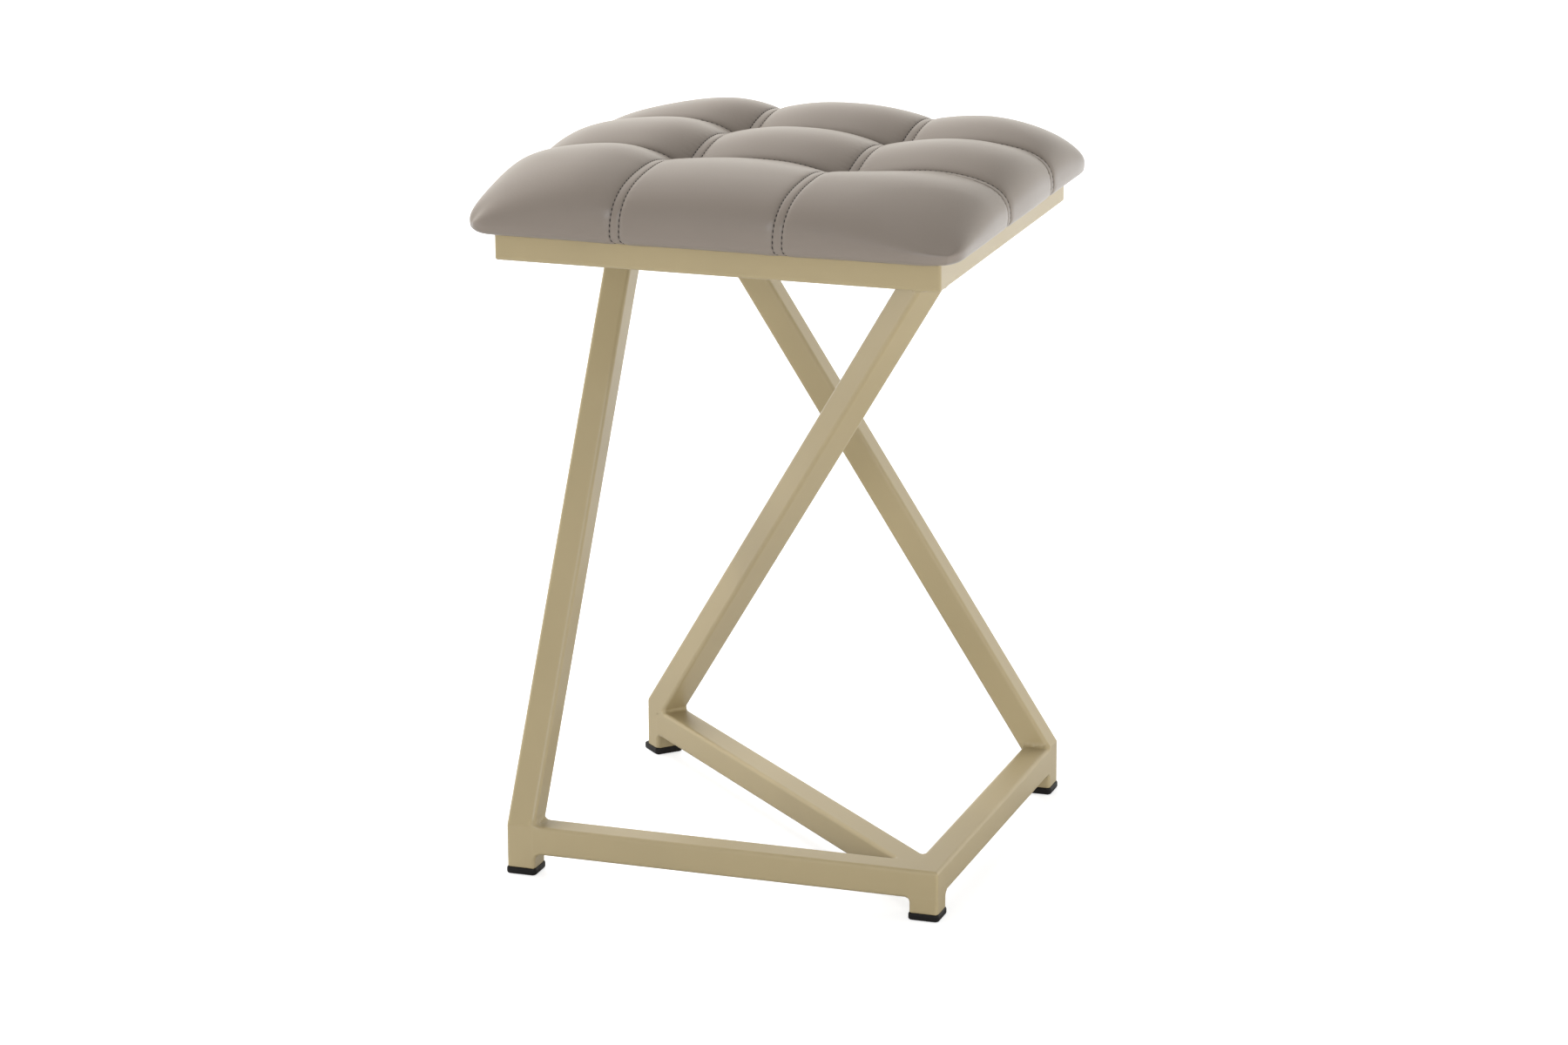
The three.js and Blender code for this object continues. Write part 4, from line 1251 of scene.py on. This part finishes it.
def zinc():
    """Zinc-plated steel with a cloudy passivation."""
    made, tree, shader, place = new_material("zinc_plate", Metallic=1.0)
    color, mask = tinted(tree, place, (0.56, 0.57, 0.58), 250.0, 0.35)
    grain = grained(tree, place, Scale=1200.0, Cells=0.3, Noise=0.6)
    finish_surface(tree, shader, color, spread(tree, mask, 0.25, 0.45), grain, 0.2, 0.00005)
    return made


# Glides and what is under the seat

GLIDE_CORNER = 3.2 * MM
GLIDE_EDGE = 1.4 * MM
GLIDE_STEP = 0.45 * MM
PLUG_INSET = 1.7 * MM
PLUG_CORNER = 1 * MM
FIN_DEPTH = 0.5 * MM
FIN_PITCH = 4 * MM
STAPLE_INSET = TUBE + 7 * MM
STAPLE_PITCH = 31 * MM
STAPLE_LENGTH = 10 * MM
STAPLE_THICKNESS = 0.7 * MM
STAPLE_SLANT = math.radians(3)
STAPLE_ROW_ENDS = (0.03, 0.97)


class STOOL_OT_glides(bpy.types.Operator):
    """Build the four plastic glides with their soft edges"""

    bl_idname = "stool.glides"
    bl_label = "Glides"

    def execute(self, context):
        plastic = moulded_plastic()
        lean = POSTS["front_right"] - POSTS["back_left"]
        low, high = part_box("glide_front_left")
        half = (high[0] - low[0]) / 2
        edge, step = GLIDE_EDGE, GLIDE_STEP
        bore_half = HALF_TUBE - PLUG_INSET
        for place, post in POSTS.items():
            turn = math.atan2(lean[1], lean[0]) if place == "back_left" else 0.0
            cos, sin = math.cos(turn), math.sin(turn)
            axes = np.array([(cos, sin, 0), (-sin, cos, 0), UP])

            def field(points, post=post, axes=axes):
                local = (points - post) @ axes.T
                side = rounded_square(local[:, 0], local[:, 1], half, half, GLIDE_CORNER) + edge
                level = np.abs(local[:, 2] - GLIDE_TOP / 2) - GLIDE_TOP / 2 + edge
                head = np.minimum(np.maximum(side, level), 0) - edge
                head = head + np.hypot(np.maximum(side, 0), np.maximum(level, 0))
                fins = FIN_DEPTH * np.cos((local[:, 2] - GLIDE_TOP) * 2 * math.pi / FIN_PITCH)
                plug = rounded_square(local[:, 0], local[:, 1], bore_half, bore_half, PLUG_CORNER)
                plug = plug + FIN_DEPTH + fins
                plug = np.maximum(plug, np.abs(local[:, 2] - high[2] / 2) - high[2] / 2)
                plug = np.maximum(plug, GLIDE_TOP / 2 - local[:, 2])
                return np.minimum(head, plug)

            across = np.arange(-half - 2 * step, half + 3 * step, step)
            up = np.arange(-2 * step, high[2] + 3 * step, step)
            points, faces = surface_of(field, across, across, up, post, axes)
            points = settle(field, points, 0.5 * step)
            points[:, 2] = np.maximum(points[:, 2], 0)
            glide = new_object("floor_glide_" + place, points, faces, plastic)
            finish_piece(glide, "glide_" + place, slot="black_plastic")
        return {"FINISHED"}


class STOOL_OT_underside(bpy.types.Operator):
    """Finish the board, foam, dust cover, tabs and fasteners, and staple the dust cover"""

    bl_idname = "stool.underside"
    bl_label = "Underside"

    def execute(self, context):
        looks = {
            "seat_tab": bpy.data.materials["powder_coat"], "seat_bolt": zinc(),
            "tee_nut": bpy.data.materials["zinc_plate"], "dust_cover": dust_cloth(),
            "seat_board": plywood(), "foam_pad": seat_foam(),
        }
        for name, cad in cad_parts.items():
            look = next((looks[start] for start in looks if name.startswith(start)), None)
            if look:
                for slot in cad.material_slots:
                    slot.material = look
        low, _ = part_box("dust_cover")
        half_x, half_y = HALF_WIDTH - STAPLE_INSET, HALF_DEPTH - STAPLE_INSET
        corners = [(half_x, half_y), (-half_x, half_y), (-half_x, -half_y), (half_x, -half_y)]
        path = [(x, y, low[2]) for x, y in corners]
        tree = along_path_tree("Staples", [
            ("Length", "Float", 0.01), ("Thickness", "Float", 0.0007)], staple_shape)
        sides = []
        for i, start in enumerate(path):
            a, b = np.array(start), np.array(path[(i + 1) % 4])
            sides.append(([a + (b - a) * share for share in STAPLE_ROW_ENDS], [(0, 0, -1)] * 2))
        run_tree("cover_staples", tree, sides, {
            "Pitch": STAPLE_PITCH, "Slant": STAPLE_SLANT, "Material": looks["seat_bolt"],
            "Length": STAPLE_LENGTH, "Thickness": STAPLE_THICKNESS,
        }, slot="zinc_steel")
        return {"FINISHED"}


# Stage: floor, soft light and the camera

# Each lamp's name, place, size and power. The first four aren't mirrored in the stool, and the last two,
# which also have a colour, only light its sheen.
SOFT_LAMPS = (
    ("key_softbox", (-1.5, 1.6, 2.4), (2.6, 2.6), 122),
    ("front_fill", (0.8, -3.2, 0.75), (2.4, 1.4), 52),
    ("left_fill", (-2.6, -0.9, 0.6), (1.8, 1.2), 30),
    ("right_fill", (0.95, -0.1, 0.06), (0.6, 0.1), 3.2),
)
SHEEN_LAMPS = (
    ("key_sheen", (-1.5, 1.6, 2.4), (2.6, 2.6), 3, (1, 0.96, 0.88)),
    ("front_sheen", (1.0, -3.0, 2.6), (2.6, 0.7), 42, (0.82, 0.9, 1.0)),
)
FLOOR_HALF = 6.0
FLOOR_LEVEL = -0.15 * MM


class STOOL_OT_stage(bpy.types.Operator):
    """Set the pale floor, the soft studio light and the camera"""

    bl_idname = "stool.stage"
    bl_label = "Stage"

    def execute(self, context):
        settings = context.scene.stool_stage
        scene = context.scene
        scene.view_settings.view_transform = "Standard"
        self.floor(settings)
        self.world(scene)
        for name, place, size, power in SOFT_LAMPS:
            self.lamp(name, place, size, power).visible_glossy = False
        for name, place, size, power, color in SHEEN_LAMPS:
            sheen = self.lamp(name, place, size, power)
            sheen.visible_diffuse = False
            sheen.data.color = color
        self.camera(scene, settings)
        return {"FINISHED"}

    def floor(self, settings):
        corners = [
            (x * FLOOR_HALF, y * FLOOR_HALF, FLOOR_LEVEL) for x, y in ((-1, -1), (1, -1), (1, 1), (-1, 1))
        ]
        floor = new_object("floor", corners, [(0, 1, 2, 3)])
        made = bpy.data.materials.new("floor_paint")
        made.use_nodes = True
        tree = made.node_tree
        shader = next(n for n in tree.nodes if n.type == "BSDF_PRINCIPLED")
        shader.inputs["Base Color"].default_value = (*settings.floor_color, 1)
        shader.inputs["Roughness"].default_value = 0.9
        shader.inputs["Emission Strength"].default_value = 1
        # Painted light: for all rays but the camera's, the floor glows, more so behind and beside the stool,
        # which brightens the stool's reflections and lights it. Camera rays get an even glow that whitens the
        # floor.
        seen = node(tree, "ShaderNodeLightPath")
        place = node(tree, "ShaderNodeTexCoord").outputs["Object"]
        parts = node(tree, "ShaderNodeSeparateXYZ", {"Vector": place})
        behind = node(tree, "ShaderNodeMapRange", {
            "Value": parts.outputs["Y"], "From Min": 0.1, "From Max": 1.7, "To Min": 0, "To Max": 1.2})
        beside = node(tree, "ShaderNodeMapRange", {
            "Value": parts.outputs["X"], "From Min": 0.12, "From Max": 0.7, "To Min": 0, "To Max": 0.3})
        painted_floor_glow = math_node(tree, "ADD", behind.outputs["Result"], beside.outputs["Result"])
        glow = node(tree, "ShaderNodeMix", {
            0: seen.outputs["Is Camera Ray"], 2: painted_floor_glow, 3: 0.72}, data_type="FLOAT")
        tree.links.new(glow.outputs[0], shader.inputs["Emission Color"])
        floor.data.materials.append(made)

    def world(self, scene):
        world = bpy.data.worlds.new("studio")
        world.use_nodes = True
        scene.world = world
        tree = world.node_tree
        background = next(n for n in tree.nodes if n.type == "BACKGROUND")
        seen = node(tree, "ShaderNodeLightPath")
        direction = node(tree, "ShaderNodeTexCoord").outputs["Generated"]
        parts = node(tree, "ShaderNodeSeparateXYZ", {"Vector": direction})
        backdrop = node(tree, "ShaderNodeMapRange", {
            "Value": parts.outputs["Y"], "From Min": -0.6, "From Max": 0.4, "To Min": 0.25, "To Max": 1.5})
        ceiling = node(tree, "ShaderNodeMapRange", {
            "Value": parts.outputs["Z"], "From Min": 0.3, "From Max": 0.8, "To Min": 1, "To Max": 0.22})
        mirrored = math_node(tree, "MULTIPLY", backdrop.outputs["Result"], ceiling.outputs["Result"])
        unseen = node(tree, "ShaderNodeMix", {
            0: seen.outputs["Is Glossy Ray"], 2: 0.45, 3: mirrored}, data_type="FLOAT")
        strength = node(tree, "ShaderNodeMix", {
            0: seen.outputs["Is Camera Ray"], 2: unseen.outputs[0], 3: 1.0}, data_type="FLOAT")
        color = node(tree, "ShaderNodeMix", {
            0: seen.outputs["Is Glossy Ray"], 6: (1, 1, 1, 1), 7: (1, 0.97, 0.91, 1)}, data_type="RGBA")
        tree.links.new(color.outputs[2], background.inputs["Color"])
        tree.links.new(strength.outputs[0], background.inputs["Strength"])

    def lamp(self, name, place, size, power, target=(0, 0, 0.3)):
        data = bpy.data.lights.new(name, "AREA")
        data.shape = "RECTANGLE"
        data.size, data.size_y = size
        data.energy = power
        lamp = bpy.data.objects.new(name, data)
        bpy.context.scene.collection.objects.link(lamp)
        lamp.location = place
        lamp.rotation_euler = (Vector(target) - Vector(place)).to_track_quat("-Z", "Y").to_euler()
        return lamp

    def camera(self, scene, settings):
        yaw, pitch, roll = settings.yaw, settings.pitch, settings.roll
        level = math.cos(pitch)
        forward = Vector((-math.sin(yaw) * level, math.cos(yaw) * level, -math.sin(pitch)))
        right = Vector((math.cos(yaw), math.sin(yaw), 0))
        up = right.cross(forward)
        tilted = math.cos(roll) * right + math.sin(roll) * up
        upright = -math.sin(roll) * right + math.cos(roll) * up
        data = bpy.data.cameras.new("camera")
        data.sensor_fit = "HORIZONTAL"
        data.sensor_width = 36
        data.lens = settings.focal_length
        camera = bpy.data.objects.new("camera", data)
        scene.collection.objects.link(camera)
        turned = Matrix((tilted, upright, -forward)).transposed().to_4x4()
        camera.matrix_world = Matrix.Translation(settings.place) @ turned
        scene.camera = camera


class STOOL_PT_panel(bpy.types.Panel):
    """Sizes, colours and the steps that build the stool"""

    bl_idname = "STOOL_PT_panel"
    bl_label = "X frame stool"
    bl_space_type = "VIEW_3D"
    bl_region_type = "UI"
    bl_category = "Stool"

    def draw(self, context):
        for settings in (context.scene.stool_steel, context.scene.stool_seat, context.scene.stool_stage):
            box = self.layout.box()
            for name in settings.__annotations__:
                box.prop(settings, name)
        for step in STEPS:
            self.layout.operator(step.bl_idname)


STEPS = (
    STOOL_OT_welded_frame, STOOL_OT_glides, STOOL_OT_quilted_seat, STOOL_OT_underside, STOOL_OT_stage,
)
CLASSES = (SteelSettings, SeatSettings, StageSettings, *STEPS, STOOL_PT_panel)


def register():
    for each in CLASSES:
        bpy.utils.register_class(each)
    bpy.types.Scene.stool_steel = bpy.props.PointerProperty(type=SteelSettings)
    bpy.types.Scene.stool_seat = bpy.props.PointerProperty(type=SeatSettings)
    bpy.types.Scene.stool_stage = bpy.props.PointerProperty(type=StageSettings)


def unregister():
    for name in ("stool_steel", "stool_seat", "stool_stage"):
        delattr(bpy.types.Scene, name)
    for each in reversed(CLASSES):
        bpy.utils.unregister_class(each)


def main():
    register()
    bpy.ops.stool.welded_frame()
    bpy.ops.stool.glides()
    bpy.ops.stool.quilted_seat()
    bpy.ops.stool.underside()
    bpy.ops.stool.stage()


if __name__ == "__main__":
    main()
